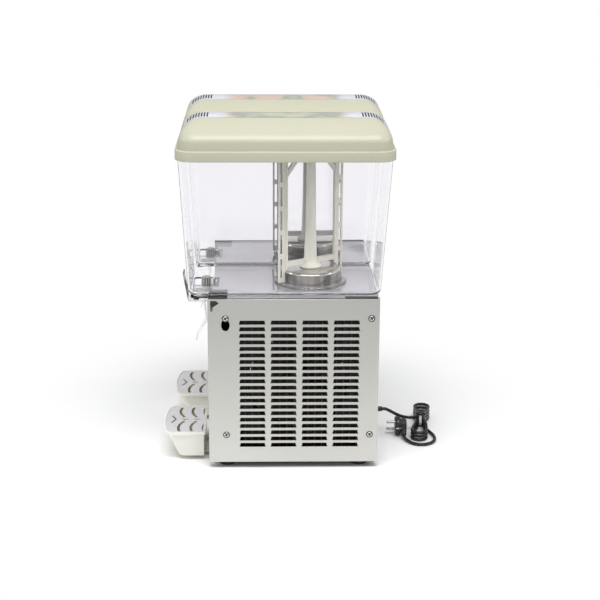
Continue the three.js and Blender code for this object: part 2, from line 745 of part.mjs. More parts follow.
function bowlRing(z, inset) {
  const share = (z - bowlBottom - bowlEdge) / (bowlTop - bowlBottom - bowlEdge)
  const up = Math.max(share, 0)
  const edge = Math.max(bowlBottom + bowlEdge - z, 0)
  const under = bowlEdge - Math.sqrt(Math.max(bowlEdge ** 2 - edge ** 2, 0))
  const shrink = inset + under
  return {
    x0: -bowlTopHalf + bowlTaperX * (1 - up) + shrink,
    x1: bowlTopHalf - bowlTaperX * (1 - up) - shrink,
    y0: bowlTopFront + bowlTaperFront * (1 - up) + shrink,
    y1: bowlTopRear - bowlTaperRear * (1 - up) - shrink,
    radius: bowlCornerBottom + (bowlCornerTop - bowlCornerBottom) * up - shrink,
    z,
  }
}

function shifted(ring, x) {
  return roundedRing({ ...ring, x0: ring.x0 + x, x1: ring.x1 + x })
}

function bowl(x) {
  const edgeHeights = outerEdgeShares.map((share) => bowlBottom + bowlEdge * share)
  const outer = loft([...edgeHeights, bowlTop].map((z) => shifted(bowlRing(z, 0), x)))
  const inside = bowlBottom + bowlFloor
  const innerHeights = innerEdgeShares.map((share) => inside + bowlEdge * share)
  const cavity = loft([...innerHeights, bowlTop + overrun].map((z, i) => {
    const ring = bowlRing(Math.max(z, bowlBottom + bowlEdge), bowlWall)
    const under = (bowlEdge - bowlWall) * innerEdgeInsetShares[i]
    return shifted({
      ...ring, x0: ring.x0 + under, x1: ring.x1 - under, y0: ring.y0 + under, y1: ring.y1 - under, z,
      radius: ring.radius - under,
    }, x)
  }))
  const collarOuter = drumFlangeRadius + collarWidth - overrun
  const collar = turned([
    [drumRadius, bowlBottom], [collarOuter, bowlBottom], [collarOuter, inside + collarHeight - collarEdge],
    [collarOuter - collarEdge, inside + collarHeight], [drumRadius, inside + collarHeight], [drumRadius, bowlBottom]], x, drumY)
  const opening = drum(drumRadius + 2 * clearance, bowlBottom - overrun, bowlTop, x, drumY)
  const seat = drum(drumFlangeRadius + 2 * clearance, bowlBottom - overrun, gasketTop + clearance, x, drumY)
  const sumpRing = (inset, taper, z) => shifted({
    x0: -sumpHalfWidth + inset + taper, x1: sumpHalfWidth - inset - taper,
    y0: sumpFront + inset + taper, y1: sumpRear - inset - taper, radius: bowlEdge - inset, z }, x)
  const sump = loft([sumpRing(0, sumpTaper, sumpBottom), sumpRing(0, 0, inside)])
  const sumpHollow = loft([sumpRing(bowlWall, sumpTaper, sumpBottom + bowlWall),
    sumpRing(bowlWall, 0, inside + overrun)])
  const outlet = drum(outletRadius, sumpBottom - overrun, sumpBottom + bowlWall + overrun, x, valveY, smallFaceCount)
  return cut(join(cut(outer, cavity), collar, sump), sumpHollow, opening, seat, outlet)
}

for (const { side, x } of bowlSides) piece(`bowl_${side}`, bowl(x), looks.clearPlastic)

// Tap: spout under the sump, valve piston above it, and a bent steel lever on a pin through the spout
const spoutHalfWidth = 13
const spoutFront = valveY - 30
const spoutRear = frontFace + sheet
const spoutBottom = sumpBottom - 7.5
const spoutChamfer = 2
const nozzleY = valveY - 20
const nozzleRadius = 5.5
const nozzleBore = 3.5
const nozzleBottom = spoutBottom - 6.5
const chamberDrop = 4.5
const stemRadius = 2.4
const knobRadius = 9.9
const knobBottom = sumpBottom + 9
const knobTop = sumpBottom + 32
const knobRibCount = 14
const knobRibDepth = 0.9
const knobTopEdge = 1
const plugRadius = 8.5
const pivotY = valveY - 26.3
const pivotZ = sumpBottom - 3.9
const pinRadius = 1.6
const leverSheet = 2
const leverTop = spoutBottom - 4.5
const leverRear = valveY + 4
const leverFront = valveY - 33
const leverHalfWidth = 15.3
const earWidth = 3.2
const earRear = 9.5
const shieldHalfWidth = 14
const pushHalfWidth = 20

// The shield rises from the bar in front of the nose, and the push plate drops from it behind the nozzle
const shieldReach = 9.7
const shieldRise = 53.8
const shieldShares = [[1, 1], [0.73, 0.64], [0.5, 0.43], [0.23, 0.1]]
const pushReach = 20.1
const pushDrop = 75.6
const pushShares = [[0.23, 0], [0, 0.51], [0.42, 0.68], [0.75, 0.84], [1, 1]]
const pushY = valveY + 0.2
const shieldPoints = shieldShares.map(([out, rise]) => [leverFront - out * shieldReach, leverTop + rise * shieldRise])
const pushPoints = pushShares.map(([out, drop]) => [pushY - out * pushReach, leverTop - leverSheet / 2 - drop * pushDrop])

function spout(x) {
  const top = sumpBottom - clearance
  const profile = outline([
    [spoutFront + spoutChamfer, spoutBottom], [spoutRear, spoutBottom], [spoutRear, top],
    [spoutFront, top], [spoutFront, spoutBottom + spoutChamfer],
  ])
  const body = prismX(profile, x - spoutHalfWidth, x + spoutHalfWidth)
  const nozzle = drum(nozzleRadius, nozzleBottom, spoutBottom + spoutChamfer, x, nozzleY, smallFaceCount)
  const bore = drum(nozzleBore, nozzleBottom - overrun, top - sheet, x, nozzleY, smallFaceCount)
  const chamber = box(x - nozzleBore, x + nozzleBore, nozzleY, valveY + nozzleBore, top - chamberDrop, top - sheet)
  const inlet = drum(outletRadius, top - sheet - clearance, top + overrun, x, valveY, smallFaceCount)
  const guide = drum(stemRadius + 2 * clearance, spoutBottom - overrun, top, x, valveY, smallFaceCount)
  const pinHole = turnedAlongX([[0, x - leverHalfWidth - overrun], [pinRadius + clearance, x - leverHalfWidth - overrun],
    [pinRadius + clearance, x + leverHalfWidth + overrun], [0, x + leverHalfWidth + overrun]],
  pivotY, pivotZ, smallFaceCount)
  return cut(join(body, nozzle), bore, chamber, inlet, guide, pinHole)
}

function valvePiston(x) {
  const seat = sumpBottom + bowlWall + clearance
  const core = turned([
    [0, leverTop + clearance], [stemRadius, leverTop + clearance], [stemRadius, seat], [plugRadius, seat],
    [plugRadius - knobTopEdge, knobBottom], [knobRadius - 2 * knobRibDepth, knobBottom],
    [knobRadius - 2 * knobRibDepth, knobTop - knobTopEdge], [knobRadius - 3 * knobRibDepth, knobTop],
    [0, knobTop]], x, valveY, smallFaceCount)
  const star = outline(Array.from({ length: 2 * knobRibCount }, (_, i) => {
    const radius = i % 2 ? knobRadius : knobRadius - knobRibDepth
    const angle = i / knobRibCount * Math.PI
    return [x + radius * Math.cos(angle), valveY + radius * Math.sin(angle)]
  }))
  return join(core, prismZ(star, knobBottom + knobTopEdge, knobTop - 2 * knobTopEdge))
}

// The outline of a sheet bent along a line of points, which run along its middle
function bentSheet(points, thickness) {
  const sides = points.map(([u, v], i) => {
    const [pu, pv] = points[Math.max(i - 1, 0)]
    const [nu, nv] = points[Math.min(i + 1, points.length - 1)]
    const length = Math.hypot(nu - pu, nv - pv)
    const half = thickness / 2 / length
    return [[u - (nv - pv) * half, v + (nu - pu) * half], [u + (nv - pv) * half, v - (nu - pu) * half]]
  })
  return outline([...sides.map((pair) => pair[0]), ...sides.map((pair) => pair[1]).reverse()])
}

// A clear lever: shield before the nose, bar under the spout with ears on the pin, and push plate below
function tapLever(x) {
  const bottom = leverTop - leverSheet
  const middle = leverTop - leverSheet / 2
  const shield = prismX(bentSheet([...shieldPoints, [leverFront, middle], [pivotY, middle]], leverSheet),
    x - shieldHalfWidth, x + shieldHalfWidth)
  const bar = box(x - shieldHalfWidth, x + shieldHalfWidth, pivotY - leverSheet, leverRear, bottom, leverTop)
  const push = prismX(bentSheet(pushPoints, leverSheet), x - pushHalfWidth, x + pushHalfWidth)
  const earSection = outline([
    [pivotY + earRear, bottom], [pivotY + earWidth, pivotZ + earWidth],
    [pivotY - earWidth, pivotZ + earWidth], [leverFront, bottom + leverSheet],
    [leverFront + leverSheet, bottom],
  ])
  const ears = [-1, 1].map((hand) => {
    const inner = x + hand * (spoutHalfWidth + clearance)
    const outer = x + hand * leverHalfWidth
    return prismX(earSection, Math.min(inner, outer), Math.max(inner, outer))
  })
  const pin = turnedAlongX([[0, x - leverHalfWidth], [pinRadius, x - leverHalfWidth],
    [pinRadius, x + leverHalfWidth], [0, x + leverHalfWidth]], pivotY, pivotZ, smallFaceCount)
  const nozzleGap = drum(nozzleRadius + leverSheet, leverTop - overrun, leverTop + leverSheet, x, nozzleY, smallFaceCount)
  return cut(join(shield, bar, push, ...ears, pin), nozzleGap)
}

for (const { side, x } of bowlSides) {
  piece(`spout_${side}`, spout(x), looks.blackPlastic)
  piece(`valve_piston_${side}`, valvePiston(x), looks.silverPlastic)
  piece(`tap_lever_${side}`, tapLever(x), looks.clearPlastic)
}

// Black rest behind the front panel; each spout stands against it
function noseRest() {
  const seam = cabinetTop - foldDepth
  const bar = box(-restHalf, restHalf, restFront, restRear, restBottom, sumpBottom - clearance)
  const blocks = [-1, 1].flatMap((hand) => {
    const span = (inner, outer) => [Math.min(hand * inner, hand * outer), Math.max(hand * inner, hand * outer)]
    return [
      box(...span(restBlockInner, restHalf), restFront, restRear, restBottom, seam),
      box(...span(restBlockInner, innerHalf), -halfDepth + sheet + clearance, restRear, seam, cabinetTop - clearance),
    ]
  })
  return join(bar, ...blocks)
}

piece('nose_rest', noseRest(), looks.blackPlastic)

// Paddle: tapered column on the drum's hub, with two ladder blades held by arms at the foot and the top
const columnFootRadius = 20
const columnTop = bowlTop - 12
const columnTopRadius = 8.4
const columnMidRadius = 10
const columnLowRadius = 11.7
const columnLowZ = hubTop
const columnMidShare = 0.29
const columnMidZ = columnLowZ + (columnTop - columnLowZ) * columnMidShare
const columnFootHeight = 3
const columnCap = 3
const columnCapInset = 2
const flareWidth = 2
const flareZ = drumTop + 11
const bladeInner = 53
const bladeOuter = 70
const bladeThickness = 3.2
const bladeTop = columnTop - 8
const bladeGap = 1.5
const bladeOverlap = 1
const bladeSlotCount = 5
const slotWidth = 5
const slotRung = 9
const slotInset = 3.6
const armBottom = drumTop + 7
const armHeight = 10
const armThick = 5
const braceDrop = 24
const braceThick = 9
const paddleTurn = 30
const hubClearance = 0.5

function paddle(x) {
  const foot = drumTop + clearance
  const bore = hubRadius + hubClearance
  const column = turned([
    [0, foot], [columnFootRadius, foot], [columnFootRadius, foot + columnFootHeight],
    [columnLowRadius + flareWidth, flareZ], [columnLowRadius, columnLowZ], [columnMidRadius, columnMidZ],
    [columnTopRadius, columnTop - columnCap], [columnTopRadius - columnCapInset, columnTop],
    [0, columnTop]], 0, 0, columnFaceCount)
  const bladeBottom = bowlBottom + bowlFloor + collarHeight + bladeGap
  const ladder = (hand) => {
    const [near, far] = [hand * bladeInner, hand * bladeOuter]
    const plate = box(Math.min(near, far), Math.max(near, far), -bladeThickness / 2, bladeThickness / 2,
      bladeBottom, bladeTop)
    const slotSpan = (bladeTop - bladeBottom - slotRung) / bladeSlotCount
    const slotOuter = hand * (bladeOuter - slotInset)
    const slotInner = hand * (bladeOuter - slotInset - slotWidth)
    const slots = Array.from({ length: bladeSlotCount }, (_, i) => {
      const z0 = bladeBottom + slotRung + i * slotSpan
      return box(Math.min(slotInner, slotOuter), Math.max(slotInner, slotOuter), -overrun, overrun,
        z0, z0 + slotSpan - slotRung)
    })
    return cut(plate, ...slots)
  }
  const arm = box(-bladeInner - bladeOverlap, bladeInner + bladeOverlap, -armThick / 2, armThick / 2, armBottom, armBottom + armHeight)
  const brace = (hand) => prismY(outline([
    [0, columnTop - braceThick / 2], [hand * (bladeInner + bladeOverlap), columnTop - braceThick - braceDrop],
    [hand * (bladeInner + bladeOverlap), columnTop - 2 * braceThick - braceDrop], [0, columnTop - 2 * braceThick],
  ]), -armThick / 2, armThick / 2)
  const socket = drum(bore, foot - overrun, hubTop + hubClearance, 0, 0, smallFaceCount)
  const sweep = drum(drumRadius + bladeGap, bladeBottom - overrun, drumTop + bladeGap, 0, 0)
  const keepFoot = drum(columnFootRadius + clearance, foot - overrun, drumTop + bladeGap, 0, 0)
  const body = join(column, ladder(-1), ladder(1), arm, brace(-1), brace(1))
  return cut(body, cut(sweep, keepFoot), socket)
    .rotate([0, 0, 90 + paddleTurn]).translate([x, drumY, 0])
}

for (const { side, x } of bowlSides) piece(`paddle_${side}`, paddle(x), looks.ivoryPlastic)

// Lid: shallow dome with a deep rim that drops over the bowl, and a vented strip in its crown
const lidWall = 2.2
const lidHalf = bowlTopHalf + clearance + lidWall
const lidReach = 4
const lidFront = bowlTopFront - lidReach
const lidRear = bowlTopRear + lidReach
const lidSkirt = 10
const lidBottom = bowlTop - lidSkirt
const lidRimRise = 6.5
const lidRimTop = bowlTop + lidRimRise
const lidStep = 5
const lidShoulderRise = 20
const lidShoulder = bowlTop + lidShoulderRise
const lidRise = 55
const lidCrown = bowlTop + lidRise
const lidEdge = 1
const lidCornerShare = 0.55
const lidCrownShare = 0.8
const lidCrownFlat = 1.6
const lidCorner = 33
const lidCurve = 46
const lidDraft = 1.5
const outerArcCount = 5
const innerArcCount = 3
const stripHalf = 41
const stripInset = 14
const stripFront = lidFront + stripInset
const stripRear = lidRear - stripInset
const stripDepth = 1.5
const stripProud = 0.3
const stripGap = 0.5
const ventCount = 8
const ventPitch = 5.2
const ventWidth = 2.2
const ventHalfLength = 30
const ventInset = 7

function lidRing(inset, z) {
  return {
    x0: -lidHalf + inset, x1: lidHalf - inset, y0: lidFront + inset, y1: lidRear - inset,
    radius: Math.max(lidCorner - inset * lidCornerShare, lidStep), z,
  }
}

// The dome's section from the step inwards: an elliptical shoulder, then a slow rise to the crown
function domeRings(offset, arcCount) {
  const rings = [[lidStep, lidRimTop], [lidStep + lidDraft, lidShoulder]]
  const rise = lidCrown - lidCrownFlat - lidShoulder
  for (let i = 1; i <= arcCount; i++) {
    const angle = i / arcCount * Math.PI / 2
    rings.push([lidStep + lidDraft + lidCurve * (1 - Math.cos(angle)), lidShoulder + rise * Math.sin(angle)])
  }
  rings.push([lidHalf * lidCrownShare, lidCrown])
  return rings.map(([inset, z]) => lidRing(inset + offset, z - offset))
}

function lidOuter(x) {
  const skirt = [lidRing(0, lidBottom), lidRing(0, lidRimTop - lidEdge), lidRing(lidEdge, lidRimTop)]
  return loft([...skirt, ...domeRings(0, outerArcCount)].map((ring) => shifted(ring, x)))
}

function lidShell(x) {
  const outer = lidOuter(x)
  const grip = lidRing(lidHalf - bowlTopHalf - clearance, lidBottom - overrun)
  const ledge = bowlTop + clearance
  const pocket = loft([grip, { ...grip, z: ledge }].map((ring) => shifted(ring, x)))
  const inner = domeRings(lidWall, innerArcCount)
  const hollow = loft([{ ...inner[0], z: lidBottom }, ...inner].map((ring) => shifted(ring, x)))
  return { outer, shell: cut(outer, pocket, hollow) }
}

function stripPrism(x, margin) {
  return box(x - stripHalf - margin, x + stripHalf + margin, stripFront - margin, stripRear + margin,
    lidShoulder, lidCrown + overrun)
}

for (const { side, x } of bowlSides) {
  const { outer, shell } = lidShell(x)
  const sunk = outer.translate([0, 0, -stripDepth])
  const recess = cut(stripPrism(x, stripGap), sunk)
  piece(`lid_${side}`, cut(shell, recess), looks.ivoryPlastic)
  const raised = outer.translate([0, 0, stripProud])
  const seat = outer.translate([0, 0, stripGap - stripDepth])
  const slots = [-1, 1].flatMap((end) => Array.from({ length: ventCount }, (_, i) => {
    const edge = end < 0 ? stripFront + ventInset : stripRear - ventInset
    const y = edge - end * i * ventPitch
    return box(x - ventHalfLength, x + ventHalfLength, y - ventWidth / 2, y + ventWidth / 2, lidShoulder, lidCrown + overrun)
  }))
  const strip = cut(stripPrism(x, 0).intersect(raised), seat, ...slots)
  piece(`lid_strip_${side}`, strip, looks.silverPlastic)
}

// Drip trays slide on the base pan's tongues; the right one stands a little further out
const trayHalf = 71.5
const trayRim = 57
const trayWall = 2.2
const trayFrontReach = 88
const trayFront = frontFace - trayFrontReach
const trayRearGap = 6.5
const trayRear = frontFace - trayRearGap
const trayFrontCorner = 14
const trayRearCorner = 6
const trayLeastCorner = 1
const trayBow = 8
const trayBowCount = 4
const trayFrontSlope = 30
const traySideSlope = 1.5
const trayRimHeight = 5
const trayLipWidth = 3
const trayOut = { right: 10, left: 0 }
const gridThickness = 1.2
const gridSink = 2

// A ring round the tray at height z: the front slopes back towards the floor and bows out in the middle
function trayRing(inset, z, x) {
  const share = Math.max(trayRim - trayRimHeight - z, 0) / (trayRim - trayRimHeight - trayFloor)
  const half = trayHalf - inset - traySideSlope * share
  const front = trayFront + inset + trayFrontSlope * share
  const rear = trayRear - inset
  const frontRadius = trayFrontCorner - inset
  const rearRadius = Math.max(trayRearCorner - inset, trayLeastCorner)
  const corner = (cx, cy, radius, quarter) => Array.from({ length: cornerFaceCount + 1 }, (_, i) => {
    const angle = (quarter + i / cornerFaceCount) * Math.PI / 2
    return [cx + radius * Math.cos(angle), cy + radius * Math.sin(angle)]
  })
  const reach = half - frontRadius
  const straight = Array.from({ length: trayBowCount - 1 }, (_, i) => (
    [reach * (2 * (i + 1) / trayBowCount - 1), front]))
  const bowed = [...corner(-reach, front + frontRadius, frontRadius, 2), ...straight,
    ...corner(reach, front + frontRadius, frontRadius, 3)]
    .map(([u, y]) => [u, y + trayBow * (u / half) ** 2])
  const rearCorners = [...corner(half - rearRadius, rear - rearRadius, rearRadius, 0),
    ...corner(rearRadius - half, rear - rearRadius, rearRadius, 1)]
  return [...rearCorners, ...bowed].map(([u, y]) => [x + u, y, z])
}

function dripTray(x, out) {
  const rimBottom = trayRim - trayRimHeight
  const outer = loft([trayRing(trayLipWidth, trayFloor, x), trayRing(trayLipWidth, rimBottom, x),
    trayRing(0, rimBottom + clearance, x), trayRing(0, trayRim, x)])
  const hollow = loft([trayRing(trayLipWidth + trayWall, trayFloor + trayWall, x),
    trayRing(trayLipWidth + trayWall, trayRim + overrun, x)])
  const shelf = loft([trayRing(trayWall, trayRim - gridSink, x), trayRing(trayWall, trayRim + overrun, x)])
  const whole = cut(outer, hollow, shelf)
  return whole.translate([0, -out, 0])
}

// Grid: a sheet with bowed slots in pairs on both sides of a row of lens slots, and a small V in front
const bandCount = 3
const bandPitch = 23.6
const bandWidth = 5.4
const bandInner = 10
const bandOuter = 62
const bandOuterPlace = 32
const bandInnerPlace = 38.4
const bandBulge = 6
const bandPointCount = 6
const lensPlace = 32
const lensLength = 16.5
const lensWidth = 5
const budPlace = 22
const budReach = 18
const budTipPlace = 14
const budWidth = 4
const gridMargin = 2.6

// A band of one width along a bow between two points of [across, back]
function bowedBand([startU, startV], [endU, endV], bulge, width) {
  const points = Array.from({ length: bandPointCount + 1 }, (_, i) => {
    const share = i / bandPointCount
    const arch = 4 * share * (1 - share)
    return [startU + (endU - startU) * share, startV + (endV - startV) * share - bulge * arch]
  })
  return bentSheet(points, width)
}

function gridSlots(x) {
  const place = (u, back) => [x + u, trayFront + back]
  const bands = []
  for (let i = 0; i < bandCount; i++) {
    const back = i * bandPitch
    for (const hand of [-1, 1]) {
      bands.push(bowedBand(place(hand * bandInner, bandInnerPlace + back),
        place(hand * bandOuter, bandOuterPlace + back), bandBulge, bandWidth))
    }
    const lens = lensPlace + back
    bands.push(outline([place(0, lens), place(lensWidth / 2, lens + lensLength / 3),
      place(lensWidth / 2, lens + 2 * lensLength / 3), place(0, lens + lensLength),
      place(-lensWidth / 2, lens + 2 * lensLength / 3), place(-lensWidth / 2, lens + lensLength / 3)]))
  }
  bands.push(bentSheet([place(-budReach, budTipPlace), place(0, budPlace), place(budReach, budTipPlace)], budWidth))
  return bands
}

function gridSheet(x, out) {
  const bottom = trayRim - gridSink + clearance
  const flat = (inset) => outline(trayRing(inset, trayRim, x).map(([px, py]) => [px, py]))
  const plate = prismZ(flat(trayWall + clearance), bottom, bottom + gridThickness)
  const slots = gridSlots(x).map((band) => prismZ(band, bottom - overrun, bottom + overrun))
  const field = prismZ(flat(trayWall + clearance + gridMargin), bottom - overrun, bottom + overrun)
  return cut(plate, wasm.Manifold.union(slots).intersect(field)).translate([0, -out, 0])
}

for (const { side, x } of bowlSides) {
  piece(`drip_tray_${side}`, dripTray(x, trayOut[side]), looks.ivoryPlastic)
  piece(`drip_grid_${side}`, gridSheet(x, trayOut[side]), looks.brightSteel)
}

// Thermostat box inside the rear panel, with a spindle through the panel for each knob
const controlBoxDepth = 38
const controlBoxHalfWidth = 92
const spindleProud = 5
const knobClear = 1
const knobSkirtRadius = 17
const knobGripRadius = 12.5
const knobSkirtHeight = 3
const knobHeight = 8
const knobEdge = 1
const knobPointer = 2.5

function controlBox() {
  const face = rearFace - sheet - clearance
  const body = box(-controlBoxHalfWidth, controlBoxHalfWidth, face - controlBoxDepth, face,
    controlBoxBottom, controlBoxTop)
  const spindles = [-knobX, knobX].map((x) => turnedAlongY([
    [0, face - overrun], [spindleRadius, face - overrun], [spindleRadius, rearFace + spindleProud],
    [0, rearFace + spindleProud]], x, knobZ, smallFaceCount))
  return join(body, ...spindles)
}

piece('control_box', controlBox(), looks.blackPlastic)

for (const [name, x] of [['thermostat_knob_right', knobX], ['thermostat_knob_left', -knobX]]) {
  const base = rearFace + knobClear
  const body = turnedAlongY([
    [0, base], [knobSkirtRadius, base], [knobSkirtRadius, base + knobSkirtHeight],
    [knobGripRadius, base + knobSkirtHeight], [knobGripRadius - knobEdge, base + knobHeight], [0, base + knobHeight]],
  x, knobZ)
  const pointer = box(x - knobPointer / 2, x + knobPointer / 2, base, base + knobHeight + knobEdge, knobZ, knobZ + knobGripRadius)
  const bore = turnedAlongY([
    [0, base - overrun], [spindleRadius + clearance, base - overrun],
    [spindleRadius + clearance, rearFace + spindleProud + clearance], [0, rearFace + spindleProud + clearance]],
  x, knobZ, smallFaceCount)
  piece(name, cut(join(body, pointer), bore), looks.blackPlastic)
}

// Mains cord: a tapered strain relief, a lead to the hank, the hank in its tie, and the tail to the plug
const cordDiameter = 6.4
const cordRadius = cordDiameter / 2
const leadFaceCount = 10
const leadSegmentCount = 12
const tailSegmentCount = 26
const reliefLength = 25
const reliefRootRadius = 7
const reliefTipRadius = 4.6
const reliefFlangeRadius = 11
const reliefFlange = 3

const relief = turnedAlongY([
  [0, rearFace - sheet - reliefFlange], [reliefRootRadius, rearFace - sheet - reliefFlange],
  [reliefRootRadius, rearFace + clearance], [reliefFlangeRadius, rearFace + clearance],
  [reliefFlangeRadius, rearFace + reliefFlange], [reliefRootRadius, rearFace + reliefFlange],
  [reliefTipRadius, rearFace + reliefLength], [0, rearFace + reliefLength]], glandX, glandZ, smallFaceCount)
piece('cord_relief', relief, looks.rubber)

// Hank: three and a half loops in four layers, drawn in at the waist, winding down from the top layer
const hankWaistX = 6
const hankWaistY = rearFace + 105.3
const hankTurn = THREE.MathUtils.degToRad(-8)
const farRun = 46
const nearRun = 66
const hankBend = 14
const hankWaist = 5.4
const hankLayerCount = 4
const layerPitch = 7.3
const loopSegmentCount = 24
const tubeFaceCount = 6
const hankRunShare = 0.375
const nextTurnShare = 0.4
const finePointCount = 5
const climbStartShare = 0.2
const climbShare = 0.18
const waistLift = 1.5
const waistLiftReach = 30
const tieThickness = 0.8
const tieHalfWidth = 4
const hankEnd = cordDiameter + clearance
const leastTurnGap = 0.4
const halfLoops = 2 * hankLayerCount - 1

// One half turn goes from the waist along a run, round the bend and back to the waist.
// Even halves go round the far bend and odd ones round the near one; share runs from 0 to 1.
function halfTurn(half, share) {
  const hand = half % 2 ? 1 : -1
  const reach = half % 2 ? nearRun : farRun
  const place = Math.min(share, 1 - share)
  const side = (share < 0.5 ? 1 : -1) * hand
  if (place < hankRunShare) {
    const u = reach * place / hankRunShare
    const v = hankBend - (hankBend - hankWaist) * (0.5 + 0.5 * Math.cos(Math.PI * u / reach))
    return [hand * u, side * v]
  }
  const angle = (share - 0.5) / (0.5 - hankRunShare) * Math.PI / 2
  return [hand * (reach + hankBend * Math.cos(angle)), -hand * hankBend * Math.sin(angle)]
}

function smooth(value) {
  const t = Math.min(Math.max(value, 0), 1)
  return 0.5 - 0.5 * Math.cos(Math.PI * t)
}

// Each loop drops one layer on the outward run of its near half
function windingPoint(halves) {
  const half = Math.min(Math.floor(halves), halfLoops - 1)
  const share = halves - half
  const [u, v] = halfTurn(half, share)
  const drop = Math.floor(half / 2) + (half % 2 ? smooth((share - climbStartShare) / climbShare) : 0)
  const lift = waistLift * smooth(1 - Math.abs(u) / waistLiftReach)
  return [u, v, cordRadius + lift + layerPitch * (hankLayerCount - 1 - drop)]
}

function inHank(u, v, z) {
  return [hankWaistX + u * Math.cos(hankTurn) - v * Math.sin(hankTurn),
    hankWaistY + u * Math.sin(hankTurn) + v * Math.cos(hankTurn), z]
}

const hankStart = windingPoint(0)
const hankFinish = windingPoint(halfLoops)

function hankPath() {
  const count = halfLoops * loopSegmentCount / 2
  const path = [inHank(hankEnd, hankStart[1], hankStart[2])]
  for (let i = 0; i <= count; i++) path.push(inHank(...windingPoint(i * halfLoops / count)))
  path.push(inHank(hankEnd, hankFinish[1], hankFinish[2]))
  return path
}

function sweep(path, radius, faces) {
  const points = path.map((p) => new THREE.Vector3(...p))
  const rings = points.map((point, i) => {
    const before = points[Math.max(i - 1, 0)]
    const after = points[Math.min(i + 1, points.length - 1)]
    const tangent = after.clone().sub(before).normalize()
    const side = tangent.clone().cross(UP).normalize()
    const lift = side.clone().cross(tangent)
    return Array.from({ length: faces }, (_, k) => {
      const angle = (k + 0.5) / faces * 2 * Math.PI
      return point.clone().addScaledVector(side, radius * Math.cos(angle))
        .addScaledVector(lift, radius * Math.sin(angle)).toArray()
    })
  })
  return loft(rings)
}

// The least gap between turns, on points a fifth of a step apart that lie nearly half a loop apart or more
function leastGap() {
  const count = halfLoops * loopSegmentCount * finePointCount / 2
  const points = Array.from({ length: count + 1 }, (_, i) => (
    new THREE.Vector3(...inHank(...windingPoint(i * halfLoops / count)))))
  let least = Infinity
  for (let i = 0; i < points.length; i++) {
    for (let j = i + Math.round(loopSegmentCount * finePointCount * nextTurnShare); j < points.length; j++) {
      least = Math.min(least, points[i].distanceTo(points[j]))
    }
  }
  return least - cordDiameter
}

const turnGap = leastGap()
console.log(`hank: least gap between turns ${turnGap.toFixed(2)} mm, over ${leastTurnGap} mm: ${turnGap > leastTurnGap}`)
piece('cord_hank', sweep(hankPath(), cordRadius, tubeFaceCount), looks.rubber)

// The tie goes round all strands at the waist
function cordTie() {
  const half = hankWaist + cordRadius + 3 * clearance
  const top = hankStart[2] + cordRadius + 2 * clearance
  const bottom = hankFinish[2] - cordRadius - 2 * clearance
  const band = (grow, reach) => loft([-reach, reach].map((u) => {
    const ring = roundedRing({ x0: -half - grow, x1: half + grow, y0: bottom - grow, y1: top + grow,
      radius: cordRadius + grow, z: 0 })
    return ring.map(([v, z]) => inHank(u, v, z))
  }))
  return cut(band(tieThickness, tieHalfWidth), band(0, tieHalfWidth + overrun))
}

piece('cord_tie', cordTie(), looks.blackPlastic)

function tubeAlong(points, segmentCount) {
  const curve = new THREE.CatmullRomCurve3(points.map((p) => new THREE.Vector3(...p)), false, 'centripetal')
  const section = new THREE.Shape(Array.from({ length: leadFaceCount }, (_, i) => {
    const angle = i / leadFaceCount * 2 * Math.PI
    return new THREE.Vector2(cordRadius * Math.cos(angle), cordRadius * Math.sin(angle))
  }))
  return solid(new THREE.ExtrudeGeometry(section, { steps: segmentCount, extrudePath: curve, bevelEnabled: false }))
}

// Route of the lead, from the strain relief to the top of the hank
const leadStart = rearFace + reliefLength + 1.5 * clearance
const leadPoints = [
  [glandX, leadStart, glandZ], [glandX, leadStart + cordDiameter, glandZ - clearance],
  [31.2, rearFace + 42.8, 42.4], [31.6, rearFace + 52.8, 37], [31.5, rearFace + 63.8, 32.2],
  [29.4, rearFace + 74.8, 29], [25.6, rearFace + 84.2, 27], [20.4, rearFace + 92.4, 25.9],
  inHank(hankEnd + clearance + cordDiameter, hankStart[1], hankStart[2]),
  inHank(hankEnd + clearance, hankStart[1], hankStart[2]),
]
piece('cord_lead', tubeAlong(leadPoints, leadSegmentCount), looks.rubber)

// Plug on its rim: round face with two pins, and a boot that leaves it sideways
const plugFaceRadius = 18.4
const plugBackRadius = 13
const plugX = 47
const plugReach = 49.8
const plugFront = rearFace + plugReach
const plugLength = 23
const plugBack = plugFront + plugLength
const plugRimLength = 7
const plugWaist = plugFront + plugRimLength
const plugShoulder = 4
const plugEdge = 1
const plugBackEdge = 2
const plugBackInset = 3
const contactTip = 1.5
const plugTilt = THREE.MathUtils.degToRad(25)
const contactRadius = 2.4
const contactLength = 17
const contactSpacing = 19
const bootLength = 30
const bootRootRadius = 6
const bootTipRadius = 4.2
const bootPlace = 16
const bootY = plugFront + bootPlace
const bootRise = 3

